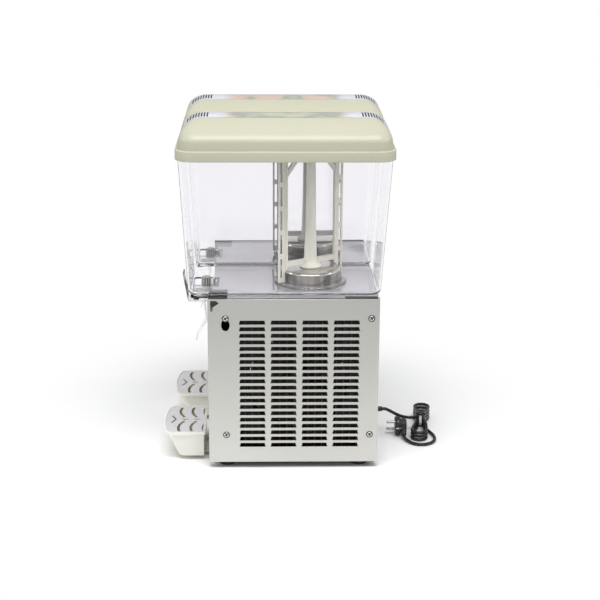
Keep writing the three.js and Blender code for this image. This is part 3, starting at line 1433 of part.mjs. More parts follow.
function plug() {
  const z = plugFaceRadius + clearance
  const body = turnedAlongY([
    [0, plugFront], [plugFaceRadius - plugEdge, plugFront], [plugFaceRadius, plugFront + plugEdge],
    [plugFaceRadius, plugWaist], [plugBackRadius + plugEdge, plugWaist + plugShoulder],
    [plugBackRadius, plugBack - plugBackEdge], [plugBackRadius - plugBackInset, plugBack], [0, plugBack]],
  plugX, z, roundFaceCount)
  const contacts = [-1, 1].map((hand) => {
    const offset = hand * contactSpacing / 2
    return turnedAlongY([
      [0, plugFront - contactLength], [contactRadius - plugEdge, plugFront - contactLength],
      [contactRadius, plugFront - contactLength + contactTip], [contactRadius, plugFront + plugEdge],
      [0, plugFront + plugEdge]],
    plugX + offset * Math.sin(plugTilt), z + offset * Math.cos(plugTilt), smallFaceCount)
  })
  const boot = turnedAlongX([[0, 0], [bootRootRadius, 0], [bootRootRadius, plugBackRadius], [bootTipRadius, bootLength],
    [0, bootLength]], 0, 0, smallFaceCount)
    .rotate([0, THREE.MathUtils.radToDeg(plugTilt), 0]).translate([plugX, bootY, z + bootRise])
  return join(body, ...contacts, boot)
}

piece('plug', plug(), looks.blackPlastic)

// Route of the tail on the floor, round the hank's near end to the plug's boot
const bootReach = bootLength + 2 * clearance
const bootEnd = [plugX + bootReach * Math.cos(plugTilt), bootY,
  plugFaceRadius + clearance + bootRise - bootReach * Math.sin(plugTilt)]
const bootRun = [bootEnd[0] + cordDiameter * Math.cos(plugTilt), bootY + clearance,
  bootEnd[2] - cordDiameter * Math.sin(plugTilt)]
const floorRun = cordRadius + clearance
const tailPoints = [
  inHank(hankEnd + clearance, hankFinish[1], hankFinish[2]),
  inHank(hankEnd + clearance + cordDiameter, hankFinish[1], hankFinish[2]),
  [30, rearFace + 113.8, 4], [42, rearFace + 119.2, floorRun], [56, rearFace + 124, floorRun],
  [72, rearFace + 126.6, floorRun], [88, rearFace + 124.8, floorRun], [101, rearFace + 116.8, floorRun],
  [108.4, rearFace + 104.2, floorRun], [108, rearFace + 90.4, floorRun], [101, rearFace + 79.2, floorRun],
  bootRun, bootEnd,
]
piece('cord_tail', tubeAlong(tailPoints, tailSegmentCount), looks.rubber)

// The origin lies under the middle of the machine, halfway between the right tray's front and the lids' rear
const reachFront = trayFront - trayOut.right
machine.position.y = -(reachFront + lidRear) / 2
machine.updateMatrixWorld(true)

export default machine
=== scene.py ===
# Looks of the refrigerated drink dispenser: detailed pieces, materials, light and camera on its CAD frame.
# Places are in millimetres in the machine's own frame; at() turns them into metres in the row's frame.
import json
from math import cos, hypot, pi, radians, sin, sqrt

import bmesh
import bpy
from mathutils import Matrix, Vector

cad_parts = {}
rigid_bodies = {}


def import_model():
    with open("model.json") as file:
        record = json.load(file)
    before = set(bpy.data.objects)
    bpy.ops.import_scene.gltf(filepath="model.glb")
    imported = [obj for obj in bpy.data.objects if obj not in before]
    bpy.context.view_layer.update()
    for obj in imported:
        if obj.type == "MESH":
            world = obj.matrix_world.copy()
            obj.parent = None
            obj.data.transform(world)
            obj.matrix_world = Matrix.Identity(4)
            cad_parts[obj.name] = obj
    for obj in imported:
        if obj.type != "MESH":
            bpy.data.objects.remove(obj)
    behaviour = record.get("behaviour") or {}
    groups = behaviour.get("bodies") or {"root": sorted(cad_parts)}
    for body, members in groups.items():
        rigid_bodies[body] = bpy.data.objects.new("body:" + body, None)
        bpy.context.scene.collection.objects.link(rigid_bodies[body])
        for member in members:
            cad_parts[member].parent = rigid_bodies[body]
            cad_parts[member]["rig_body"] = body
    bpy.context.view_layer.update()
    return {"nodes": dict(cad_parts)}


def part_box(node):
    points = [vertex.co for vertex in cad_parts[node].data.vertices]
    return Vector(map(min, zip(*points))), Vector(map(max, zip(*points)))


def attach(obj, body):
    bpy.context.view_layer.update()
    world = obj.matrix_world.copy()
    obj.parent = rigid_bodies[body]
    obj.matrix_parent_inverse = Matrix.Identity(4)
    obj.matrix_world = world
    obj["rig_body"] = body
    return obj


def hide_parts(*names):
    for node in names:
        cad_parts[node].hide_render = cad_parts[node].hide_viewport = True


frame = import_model()
nodes = frame["nodes"]
scene = bpy.context.scene

MM = 0.001
ROW_SHIFT = 32
SIDES = {"right": 103.5, "left": -103.5}
SIGNS = {"right": 1, "left": -1}
CLEARANCE = 0.3
SHEET = 1.5
OVERRUN = 5
ROUND = 96
MIDDLE_ROUND = 48
SMALL_ROUND = 32
EDGE_STEPS = 6
BEND_STEPS = 7
CORNER_STEPS = 14
FACING = 0.9

# Cabinet
HALF_WIDTH = 210
HALF_DEPTH = 158
FOOT_HEIGHT = 12
CABINET_TOP = 332
FRONT_FACE = -150
REAR_FACE = 156.2

# Drum, bowl and lid
DRUM_Y = 33
DRUM_RADIUS = 57
DRUM_TOP = 365
HUB_TOP = 392
VALVE_Y = -163


def at(x, y, z):
    return Vector((x * MM, (y + ROW_SHIFT) * MM, z * MM))


def span(sign, near, far):
    """Two distances from a middle as low and high, on the side of the sign."""
    return sorted((sign * near, sign * far))


def about(middle, half):
    """Limits at the same distance on both sides of a middle."""
    return middle - half, middle + half


def quarter(steps):
    """Angles from zero to a right angle."""
    return [pi / 2 * i / steps for i in range(steps + 1)]


def turned(u, v, angle):
    return u * cos(angle) - v * sin(angle), u * sin(angle) + v * cos(angle)


def placed(name, data):
    obj = bpy.data.objects.new(name, data)
    scene.collection.objects.link(obj)
    return obj


# Materials: each of these helpers works on a material or on the surroundings

GRAIN_DETAIL = 3.0
GRAIN_DEPTH = 0.0004
TINT_DETAIL = 2.0
TINT_RANGE = (0.35, 0.65)


def material(name, colour, roughness, metallic=0.0, **inputs):
    mat = bpy.data.materials.new(name)
    mat.use_nodes = True
    shader = shader_of(mat)
    shader.inputs["Base Color"].default_value = (*colour, 1)
    shader.inputs["Roughness"].default_value = roughness
    shader.inputs["Metallic"].default_value = metallic
    for key, value in inputs.items():
        shader.inputs[key.replace("_", " ")].default_value = value
    return mat


def shader_of(mat):
    return mat.node_tree.nodes["Principled BSDF"]


def add_node(mat, kind, **settings):
    node = mat.node_tree.nodes.new(kind)
    for key, value in settings.items():
        if key in node.inputs:
            node.inputs[key].default_value = value
        else:
            setattr(node, key, value)
    return node


def feed(mat, socket, value):
    """Gives a socket another one's output, or a plain value."""
    if isinstance(value, bpy.types.NodeSocket):
        mat.node_tree.links.new(value, socket)
    else:
        socket.default_value = value


def object_place(mat, stretch=(1, 1, 1)):
    coords = add_node(mat, "ShaderNodeTexCoord")
    mapping = add_node(mat, "ShaderNodeMapping", Scale=stretch)
    feed(mat, mapping.inputs["Vector"], coords.outputs["Object"])
    return mapping.outputs["Vector"]


def place_along(mat, axis):
    split = add_node(mat, "ShaderNodeSeparateXYZ")
    feed(mat, split.inputs["Vector"], object_place(mat))
    return split.outputs[axis]


def noise(mat, scale, detail, stretch=(1, 1, 1)):
    node = add_node(mat, "ShaderNodeTexNoise", Scale=scale, Detail=detail)
    feed(mat, node.inputs["Vector"], object_place(mat, stretch))
    return node.outputs["Fac"]


def mapped(mat, source, low, high, to_low=0, to_high=1, **settings):
    """Carries the range from low to high over to another one."""
    node = add_node(mat, "ShaderNodeMapRange", **settings)
    limits = {"From Min": low, "From Max": high, "To Min": to_low, "To Max": to_high}
    for key, value in {"Value": source, **limits}.items():
        feed(mat, node.inputs[key], value)
    return node.outputs["Result"]


def computed(mat, operation, *values):
    node = add_node(mat, "ShaderNodeMath", operation=operation)
    for socket, value in zip(node.inputs, values):
        feed(mat, socket, value)
    return node.outputs["Value"]


def mixed(mat, factor, first, second, blend="MIX"):
    """Two colours as one."""
    node = add_node(mat, "ShaderNodeMix", data_type="RGBA", blend_type=blend)
    for key, value in (("Factor", factor), ("A", first), ("B", second)):
        feed(mat, node.inputs[key], value)
    return node.outputs["Result"]


def ramped(mat, source, stops):
    """Colours by value: stops are pairs of a place and a colour."""
    node = add_node(mat, "ShaderNodeValToRGB")
    elements = node.color_ramp.elements
    for i, (position, colour) in enumerate(stops):
        stop = elements[i] if i < 2 else elements.new(position)
        stop.position = position
        stop.color = (*colour, 1)
    feed(mat, node.inputs["Fac"], source)
    return node.outputs["Color"]


def mix_surfaces(mat, factor, first, second, output="Material Output"):
    mix = add_node(mat, "ShaderNodeMixShader")
    for socket, value in zip(mix.inputs, (factor, first, second)):
        feed(mat, socket, value)
    feed(mat, mat.node_tree.nodes[output].inputs["Surface"], mix.outputs["Shader"])


def seen_directly(mat):
    """One for what is seen plainly or through clear plastic, zero for what lights or mirrors."""
    path = add_node(mat, "ShaderNodeLightPath")
    return computed(mat, "MAXIMUM", path.outputs["Is Camera Ray"], path.outputs["Is Transmission Ray"])


def grain(mat, scale, bump, rough_low, rough_high, stretch=(1, 1, 1)):
    """Fine relief and an uneven gloss."""
    shader = shader_of(mat)
    height = noise(mat, scale, GRAIN_DETAIL, stretch)
    relief = add_node(mat, "ShaderNodeBump", Strength=bump, Distance=GRAIN_DEPTH)
    feed(mat, relief.inputs["Height"], height)
    feed(mat, shader.inputs["Normal"], relief.outputs["Normal"])
    feed(mat, shader.inputs["Roughness"], mapped(mat, height, 0, 1, rough_low, rough_high))
    return mat


def tinted(mat, scale, low, high, stretch=(1, 1, 1)):
    """Colour that wanders slightly between two tones."""
    tone = ramped(mat, noise(mat, scale, TINT_DETAIL, stretch), zip(TINT_RANGE, (low, high)))
    feed(mat, shader_of(mat).inputs["Base Color"], tone)
    return mat


def lighter_below(mat, foot, head, low_share, high_share):
    """Scales the colour by height: a painted reflection of the white floor, which lightens satin sheet low
    down.
    """
    base = shader_of(mat).inputs["Base Color"]
    share = mapped(mat, place_along(mat, "Z"), foot, head, low_share, high_share)
    feed(mat, base, mixed(mat, 1, base.links[0].from_socket, share, "MULTIPLY"))
    return mat


def clear_plastic(name, colour, roughness, ior, shadow, thinned=0.0):
    """Clear plastic with a faint shadow; thinned is the share that is seen straight through."""
    mat = material(name, colour, roughness, IOR=ior, Transmission_Weight=1.0)
    through = add_node(mat, "ShaderNodeBsdfTransparent", Color=(*shadow, 1))
    path = add_node(mat, "ShaderNodeLightPath")
    plain = computed(mat, "MAXIMUM", path.outputs["Is Shadow Ray"], thinned)
    mix_surfaces(mat, plain, shader_of(mat).outputs["BSDF"], through.outputs["BSDF"])
    return mat


# Upright streaks: brushing on the panels, painted reflection on the drum's side
STREAKED_UP = (1, 1, 0.02)
BRUSHED_ACROSS = (0.02, 1, 1)
SPUN = (1, 1, 0.05)
# Painted reflection of the white floor on the panels: lower and upper height in metres, and the share of the
# colour at each
PANEL_FLOOR_REFLECTION = (0.03, 0.3, 1.21, 0.87)
LOOKS = {
    "panel": grain(lighter_below(tinted(material("panel_steel", (0.55, 0.545, 0.505), 0.42, 0.35), 3,
                                        (0.525, 0.52, 0.485), (0.56, 0.555, 0.52)), *PANEL_FLOOR_REFLECTION),
                   900, 0.06, 0.36, 0.5, STREAKED_UP),
    # Near-black painted shade for the cabinet's inner faces, the base's underside and the sheet behind the
    # lid's vents
    "inside": grain(material("inside_painted_shade", (0.03, 0.03, 0.028), 0.6, 0.2), 300, 0.04, 0.5, 0.7),
    "top": grain(material("top_steel", (0.66, 0.65, 0.68), 0.3, 0.7), 700, 0.05, 0.24, 0.36, BRUSHED_ACROSS),
    "drum": grain(material("drum_steel", (0.5, 0.487, 0.455), 0.12, 1.0), 500, 0.03, 0.09, 0.17, SPUN),
    # Upright side of the drum: darker steel with upright streaks, a painted reflection of the surroundings
    "drum_side": grain(tinted(material("drum_side_painted_reflection", (0.2, 0.19, 0.175), 0.12, 1.0), 90,
                              (0.05, 0.047, 0.042), (0.3, 0.285, 0.26), STREAKED_UP),
                       500, 0.03, 0.09, 0.17, SPUN),
    "grid": grain(material("grid_steel", (0.8, 0.79, 0.81), 0.4, 0.3), 300, 0.01, 0.36, 0.44,
                  BRUSHED_ACROSS),
    "lid": grain(tinted(material("lid_ivory", (0.48, 0.47, 0.36), 0.3, Specular_IOR_Level=0.35), 2,
                        (0.468, 0.459, 0.352), (0.488, 0.479, 0.373)), 60, 0.02, 0.27, 0.34),
    "ivory": grain(material("paddle_ivory", (0.76, 0.743, 0.655), 0.38), 120, 0.04, 0.34, 0.46),
    "tray": grain(material("tray_ivory", (0.9, 0.887, 0.8), 0.35), 120, 0.04, 0.3, 0.42),
    # Warmer copy of the tray's ivory: painted shade inside the tray and in the grid's slots
    "tray_inside": grain(material("tray_shade", (0.95, 0.895, 0.7), 0.5), 120, 0.04, 0.45, 0.55),
    "bowl": clear_plastic("bowl_clear", (0.98, 0.976, 0.988), 0.015, 1.45, (0.96, 0.96, 0.965)),
    "lever": clear_plastic("lever_clear", (0.97, 0.97, 0.97), 0.03, 1.2, (0.96, 0.96, 0.96), 0.72),
    "shield": clear_plastic("shield_smoked", (0.3, 0.3, 0.3), 0.05, 1.3, (0.6, 0.6, 0.6)),
    "gasket": clear_plastic("gasket_clear", (0.9, 0.9, 0.92), 0.2, 1.4, (0.9, 0.9, 0.92)),
    "valve": grain(material("valve_grey", (0.36, 0.35, 0.32), 0.35), 300, 0.05, 0.3, 0.45),
    # Painted shade for the grooves between the valve knob's ribs
    "groove": grain(material("groove_painted_shade", (0.02, 0.02, 0.018), 0.5), 300, 0.05, 0.45, 0.6),
    "pin": grain(material("pin_steel", (0.42, 0.41, 0.39), 0.2, 1.0), 400, 0.02, 0.15, 0.25),
    "black": grain(material("black_plastic", (0.018, 0.018, 0.018), 0.35), 400, 0.06, 0.3, 0.45),
    "rubber": grain(material("feet_rubber", (0.02, 0.02, 0.02), 0.75), 500, 0.12, 0.65, 0.85),
    "cord": grain(material("cord_rubber", (0.008, 0.008, 0.0075), 0.24), 700, 0.04, 0.2, 0.3),
    "chrome": grain(material("chrome", (0.72, 0.71, 0.69), 0.14, 1.0), 400, 0.02, 0.1, 0.2),
    "green": grain(material("switch_green", (0.03, 0.22, 0.06), 0.25, Coat_Weight=0.4), 200, 0.02, 0.2, 0.3),
    # Parts inside the cabinet, near black as painted shade, for the machinery partly its own dark paint; the
    # machinery's colour also paints shade in the screws' slots and rims
    "machine": grain(material("machine_black_and_painted_shade", (0.02, 0.02, 0.021), 0.45, 0.1), 200, 0.06, 0.4, 0.55),
    "fins": grain(material("fin_aluminium_in_painted_shade", (0.06, 0.056, 0.042), 0.5, 0.3), 300, 0.05, 0.4, 0.6),
    "zinc": grain(material("zinc_sheet_in_painted_shade", (0.05, 0.05, 0.048), 0.5, 0.4), 40, 0.05, 0.4, 0.6),
}


# Mesh tools: every piece is built here in millimetres

WELD = 1e-6
CAD_WELD = 2e-6
FLAT_ANGLE = radians(0.5)


def mesh_object(name, points, faces):
    mesh = bpy.data.meshes.new(name)
    mesh.from_pydata([at(*p) for p in points], [], faces)
    mesh.validate()
    bm = bmesh.new()
    bm.from_mesh(mesh)
    bmesh.ops.remove_doubles(bm, verts=bm.verts, dist=WELD)
    bmesh.ops.recalc_face_normals(bm, faces=bm.faces)
    bm.to_mesh(mesh)
    bm.free()
    return placed(name, mesh)


def loft(name, rings):
    """A closed skin over rings of points."""
    count = len(rings[0])
    points = [p for ring in rings for p in ring]
    faces = []
    for k in range(len(rings) - 1):
        for i in range(count):
            j = (i + 1) % count
            faces.append((k * count + i, k * count + j, (k + 1) * count + j, (k + 1) * count + i))
    faces.append(tuple(range(count))[::-1])
    last = (len(rings) - 1) * count
    faces.append(tuple(range(last, last + count)))
    return mesh_object(name, points, faces)


def on_axis(axis, u, v, along):
    """A place across and along an axis: with X, u and v are y and z, with Y x and z, with Z x and y."""
    return {"X": (along, u, v), "Y": (u, along, v), "Z": (u, v, along)}[axis]


def lathe(name, profile, centre, axis="Z", segments=ROUND):
    """A closed profile of (radius, height) turned about an axis through centre."""
    points = []
    for i in range(segments):
        angle = 2 * pi * i / segments
        for radius, height in profile:
            place = on_axis(axis, radius * cos(angle), radius * sin(angle), height)
            points.append([a + b for a, b in zip(centre, place)])
    count = len(profile)
    open_profile = profile[0][0] == 0 and profile[-1][0] == 0
    spans = count - 1 if open_profile else count
    faces = []
    for i in range(segments):
        j = (i + 1) % segments
        for k in range(spans):
            m = (k + 1) % count
            faces.append((i * count + k, i * count + m, j * count + m, j * count + k))
    return mesh_object(name, points, faces)


def prism(name, outline, axis, low, high):
    """An outline of (u, v) points run along an axis."""
    return loft(name, [[on_axis(axis, u, v, along) for u, v in outline] for along in (low, high)])


def block(name, x0, x1, y0, y1, z0, z1):
    return prism(name, [(x0, y0), (x1, y0), (x1, y1), (x0, y1)], "Z", z0, z1)


def corner(cx, cy, radius, turns, steps):
    """A quarter circle that starts after some quarter turns."""
    angles = [(turns + i / steps) * pi / 2 for i in range(steps + 1)]
    return [(cx + radius * cos(a), cy + radius * sin(a)) for a in angles]


def ring_of(x0, x1, y0, y1, radius, z, steps):
    """A level rectangle with round corners."""
    centres = ((x1 - radius, y1 - radius), (x0 + radius, y1 - radius),
               (x0 + radius, y0 + radius), (x1 - radius, y0 + radius))
    return [(px, py, z) for turns, centre in enumerate(centres)
            for px, py in corner(*centre, radius, turns, steps)]


def with_height(ring, z):
    return [(px, py, z) for px, py, _ in ring]


def combine(base, others, operation):
    """Boolean with each of the others, which are then removed."""
    for other in others:
        modifier = base.modifiers.new("cut", "BOOLEAN")
        modifier.operation = operation
        modifier.solver = "EXACT"
        modifier.object = other
        bpy.context.view_layer.update()
        made = bpy.data.meshes.new_from_object(base.evaluated_get(bpy.context.evaluated_depsgraph_get()))
        base.modifiers.clear()
        base.data = made
        bpy.data.objects.remove(other)
    return base


def joined(name, parts):
    """Several meshes as one piece."""
    bm = bmesh.new()
    for part in parts:
        bm.from_mesh(part.data)
        bpy.data.objects.remove(part)
    mesh = bpy.data.meshes.new(name)
    bm.to_mesh(mesh)
    bm.free()
    return placed(name, mesh)


BEVEL_SEGMENTS = 2
SHARP_ANGLE = 35
MOULDED_ANGLE = 40
# Looks whose edges are shaded sharp above another angle
SHARP_ANGLES = {"drum": 30, "gasket": 50, "bowl": 25, "valve": 30, "lid": 32, "print": 30, "cord": 40}


def bevelled(obj, width, angle=SHARP_ANGLE):
    modifier = obj.modifiers.new("edge", "BEVEL")
    modifier.width = width * MM
    modifier.segments = BEVEL_SEGMENTS
    modifier.limit_method = "ANGLE"
    modifier.angle_limit = radians(angle)
    return obj


def dress(obj, look, replaced=None, body="cabinet", angle=None):
    """Gives a piece its look and body, which is that of the node it replaces if there is one."""
    if replaced:
        body = nodes[replaced]["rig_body"]
    obj.data.materials.clear()
    obj.data.materials.append(LOOKS[look])
    obj.data.shade_smooth()
    obj.data.set_sharp_from_angle(angle=radians(angle or SHARP_ANGLES.get(look, SHARP_ANGLE)))
    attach(obj, body)
    if replaced:
        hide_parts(replaced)
    return obj


def second_look(obj, look, chosen):
    """Another look on the faces for which chosen(centre, normal) holds, with the centre in millimetres."""
    obj.data.materials.append(LOOKS[look])
    slot = len(obj.data.materials) - 1
    for face in obj.data.polygons:
        centre = Vector(face.center) / MM
        centre.y -= ROW_SHIFT
        if chosen(centre, face.normal):
            face.material_index = slot
    return obj


# Pieces that follow their CAD solid: look and slot, and the width of each one's eased edge
EASED = {
    ("panel", "panel_steel"): {"side_panel": 0.15, "front_panel": 0.35, "rear_panel": 0.35,
                               "base_pan": 0.35},
    ("top", "panel_steel"): {"top_plate": 0.5},
    ("black", "black_plastic"): {"nose_rest": 0.6, "switch_plate": 0.5, "control_box": 0.6,
                                 "magnet_rotor": 0.4, "spout": 0.6, "thermostat_knob": 0.5,
                                 "rocker_stirrer": 0.6, "cord_tie": 0.2},
    ("machine", "machinery"): {"compressor": 0.8, "fan_motor": 0.5, "stirrer_motor": 0.4},
    ("zinc", "shroud_zinc"): {"fan_shroud": 0.3},
    ("fins", "condenser_alu"): {"condenser": 0},
    ("lever", "lever_clear"): {"tap_lever": 0.3},
    ("grid", "bright_steel"): {"drip_grid": 0.25},
    ("green", "switch_green"): {"rocker_power": 0.6},
}


def eased(kind, side=None, trims=()):
    """A copy of a CAD node with its edges eased, in place of the node."""
    node = f"{kind}_{side}" if side else kind
    (look, slot), edges = next(item for item in EASED.items() if kind in item[1])
    mesh = nodes[node].data.copy()
    bm = bmesh.new()
    bm.from_mesh(mesh)
    bmesh.ops.remove_doubles(bm, verts=bm.verts, dist=CAD_WELD)
    bmesh.ops.dissolve_limit(bm, angle_limit=FLAT_ANGLE, verts=bm.verts, edges=bm.edges)
    bm.to_mesh(mesh)
    bm.free()
    obj = combine(placed(f"{node}_eased", mesh), trims, "DIFFERENCE")
    if edges[kind]:
        bevelled(obj, edges[kind])
    return dress(obj, look, node)


# Cabinet: panels with eased edges, cross-head screws

INNER_FACE = HALF_WIDTH - SHEET
TRIM = 10
FOLD_RADIUS = 3
KEYHOLE_Y = -125.3
KEYHOLE_Z = 282.6
KEYHOLE_HALF_WIDTH = 7.8
KEYHOLE_HALF_HEIGHT = 11.6


def fold_round(sign, end):
    """What a rounded fold takes off the upright edge of a side panel."""
    cx, cy = HALF_WIDTH - FOLD_RADIUS, HALF_DEPTH - FOLD_RADIUS
    far_x, far_y = HALF_WIDTH + TRIM, HALF_DEPTH + TRIM
    curve = [(cx + FOLD_RADIUS * sin(a), cy + FOLD_RADIUS * cos(a)) for a in quarter(EDGE_STEPS)]
    outline = [(cx, far_y), *curve, (far_x, cy), (far_x, far_y)]
    return prism("fold", [(sign * px, end * py) for px, py in outline], "Z", 0, CABINET_TOP + TRIM)


def keyhole(sign):
    angles = [2 * pi * i / SMALL_ROUND for i in range(SMALL_ROUND)]
    outline = [(KEYHOLE_Y + KEYHOLE_HALF_WIDTH * cos(a), KEYHOLE_Z + KEYHOLE_HALF_HEIGHT * sin(a))
               for a in angles]
    return prism("keyhole", outline, "X", *span(sign, *about(HALF_WIDTH, TRIM)))


for side, sign in SIGNS.items():
    faces_off = block("off", *span(sign, HALF_WIDTH, HALF_WIDTH + TRIM), *about(0, HALF_DEPTH + TRIM),
                      0, CABINET_TOP + TRIM)
    panel = eased("side_panel", side, [faces_off, keyhole(sign), fold_round(sign, -1), fold_round(sign, 1)])
    # The panel's inner faces get painted shade
    second_look(panel, "inside",
                lambda centre, normal: abs(normal.x) > FACING and abs(centre.x) < INNER_FACE + CLEARANCE)

# Faces that look into the cabinet, and the base's underside, get painted shade
INWARD = {
    "front_panel": lambda centre, normal: normal.y > FACING,
    "rear_panel": lambda centre, normal: normal.y < -FACING,
    "base_pan": lambda centre, normal: centre.y > FRONT_FACE and (
        centre.z > FOOT_HEIGHT + CLEARANCE or normal.z < -FACING),
    "top_plate": lambda centre, normal: normal.z < -FACING,
}
for kind, inward in INWARD.items():
    second_look(eased(kind), "inside", inward)
eased("nose_rest")

# Black strips on each side of the top: inner x, front, rear, bottom, top and eased edge
STRIP_OUTER = 207.9
SEAM_END = 94
BLACK_STRIPS = {
    "nose_bracket": (197, -156.2, -150.4, 303, 317.6, 0.4),
    "rear_strip": (199, SEAM_END, 153.8, CABINET_TOP, 334.6, 0.4),
    "seam_strip": (204.4, -121.8, SEAM_END - CLEARANCE, CABINET_TOP, 332.7, 0.15),
}
for side, sign in SIGNS.items():
    for kind, (inner, *limits, edge) in BLACK_STRIPS.items():
        strip = block(f"{kind}_{side}", *span(sign, inner, STRIP_OUTER), *limits)
        dress(bevelled(strip, edge), "black")
eased("switch_plate")
eased("control_box")

SCREW_YS = (-125.3, 143)
SCREW_ZS = (66.8, 295.2)
SCREW_RADIUS = 6.4
SCREW_DOME = 1.8
SCREW_FLANGE = 0.5
SCREW_CROWN = 4.7
CROSS_LENGTH = 7.2
CROSS_WIDTH = 2.2
CROSS_DEPTH = 1.3
CROSS_TURN = radians(20)
CROSS_WALL = 0.3
CROSS_UPPER_SHARE = 1 / 3
CROSS_LOWER_SHARE = 0.9


def screw(name, sign, y, z):
    """A pan head on a thin flange, with a cross slot turned a little."""
    crown = SCREW_DOME - SCREW_FLANGE
    section = [(0, -SHEET / 2), (SCREW_RADIUS, -SHEET / 2), (SCREW_RADIUS, SCREW_FLANGE / 2),
               (SCREW_RADIUS - SCREW_FLANGE, SCREW_FLANGE), (SCREW_CROWN, SCREW_FLANGE)]
    section += [(SCREW_CROWN * cos(a), SCREW_FLANGE + crown * sin(a)) for a in quarter(BEND_STEPS)[1:-1]]
    section += [(0, SCREW_DOME)]
    head = lathe(name, [(r, sign * (HALF_WIDTH + h)) for r, h in section], (0, y, z), "X", SMALL_ROUND)
    low, high = span(sign, HALF_WIDTH + SCREW_DOME + SHEET, HALF_WIDTH + SCREW_DOME - CROSS_DEPTH)
    arms = []
    for angle in (CROSS_TURN, CROSS_TURN + pi / 2):
        corners = [turned(hand * CROSS_LENGTH / 2, up * CROSS_WIDTH / 2, angle)
                   for hand, up in ((1, 1), (-1, 1), (-1, -1), (1, -1))]
        arms.append(prism("arm", [(y + u, z + v) for u, v in corners], "X", low, high))
    return combine(head, arms, "DIFFERENCE")


def in_screw_shade(y, z):
    """Tells the faces of the slot and of the flange of a screw at y and z, which get painted shade."""
    def chosen(centre, normal):
        out = hypot(centre.y - y, centre.z - z)
        proud = abs(centre.x) - HALF_WIDTH
        wall = proud < SCREW_DOME - CROSS_DEPTH * CROSS_UPPER_SHARE and abs(normal.x) < CROSS_WALL
        bottom = 0 < proud < SCREW_DOME - CROSS_DEPTH * CROSS_LOWER_SHARE
        return out > SCREW_CROWN or (out < CROSS_LENGTH / 2 and (wall or bottom))
    return chosen


for side, sign in SIGNS.items():
    for i, y in enumerate(SCREW_YS):
        for j, z in enumerate(SCREW_ZS):
            head = dress(screw(f"screw_{side}_{i}{j}", sign, y, z), "chrome")
            # The slot and the flange of each screw are painted dark as shade
            second_look(head, "machine", in_screw_shade(y, z))

# Foot: distance in from its rim, and height
FOOT_SECTION = [(5, 0), (3.6, 0.6), (3, 2), (0.6, FOOT_HEIGHT - 2), (0, FOOT_HEIGHT - CLEARANCE)]


def foot(name):
    low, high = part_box(name)
    middle = (low + high) / 2 / MM
    radius = (high.x - low.x) / 2 / MM
    profile = [(0, 0)] + [(radius - inset, z) for inset, z in FOOT_SECTION] + [(0, FOOT_HEIGHT - CLEARANCE)]
    pad = lathe(f"{name}_turned", profile, (middle.x, middle.y - ROW_SHIFT, 0))
    return dress(pad, "rubber", name)


for side in SIDES:
    for end in ("front", "rear"):
        foot(f"foot_{end}_{side}")

# Refrigeration set behind the louvres

FAN_Y = 8
FAN_Z = 152.9
FAN_BACK = 143.4
FAN_FRONT = 161.4
FAN_RADIUS = 91.4
FAN_HUB = 22
FAN_HUB_EDGE = 3
FAN_BORE = 4.4
FAN_BLADES = 5
FAN_BLADE_TURN = radians(79)
FAN_SHEET = 1.2
FAN_RINGS = 6
FAN_POINTS = 10
COWL_SECTION = [(92.2, 149.5), (98, 149.5), (98, 153.5), (92.2, 153.5)]
COWL_EDGE = 0.3
COWL_ROUND = 64


def fan_blade(turn):
    """A thin sheet over a wide sector, which leans from the front to the back."""
    shares = [j / FAN_POINTS - 0.5 for j in range(FAN_POINTS + 1)]
    root = FAN_HUB - FAN_HUB_EDGE

    def point(radius, share, out):
        angle = turn + share * FAN_BLADE_TURN
        middle = (FAN_FRONT + FAN_BACK) / 2 - share * (FAN_FRONT - FAN_BACK - FAN_SHEET)
        return (middle + out, FAN_Y + radius * sin(angle), FAN_Z + radius * cos(angle))

    stations = []
    for k in range(FAN_RINGS + 1):
        radius = root + (FAN_RADIUS - root) * k / FAN_RINGS
        stations.append([point(radius, share, FAN_SHEET / 2) for share in shares]
                        + [point(radius, share, -FAN_SHEET / 2) for share in reversed(shares)])
    return loft("blade", stations)


def fan():
    hub = lathe("hub", [(FAN_BORE, FAN_BACK), (FAN_HUB, FAN_BACK), (FAN_HUB, FAN_FRONT - FAN_HUB_EDGE),
                        (FAN_HUB - FAN_HUB_EDGE, FAN_FRONT), (FAN_BORE, FAN_FRONT)],
                (0, FAN_Y, FAN_Z), "X", MIDDLE_ROUND)
    rotor = combine(hub, [fan_blade(2 * pi * i / FAN_BLADES) for i in range(FAN_BLADES)], "UNION")
    rotor.name = "fan_rotor_turned"
    return dress(rotor, "fins", "fan_rotor")


def fan_cowl():
    cowl = lathe("fan_cowl", COWL_SECTION, (0, FAN_Y, FAN_Z), "X", COWL_ROUND)
    return dress(bevelled(cowl, COWL_EDGE), "zinc")


eased("compressor")
eased("fan_shroud")
fan()
fan_cowl()
eased("fan_motor")
eased("condenser")
for side in SIDES:
    eased("stirrer_motor", side)
    eased("magnet_rotor", side)

# Drum, seal, bowl, valve and paddle on each side

DRUM_EDGE = 5
DRUM_FLANGE = 64
DRUM_PIVOT = [(0, HUB_TOP), (2.5, HUB_TOP), (4.2, 390), (4.5, 387), (4.5, 366), (6, DRUM_TOP)]
DRUM_FOOT = [(DRUM_RADIUS, 335), (58, 333.8), (DRUM_FLANGE, 333.8), (DRUM_FLANGE, CABINET_TOP + CLEARANCE)]
DRUM_INSIDE_EDGE = 3
UPRIGHT = 0.3


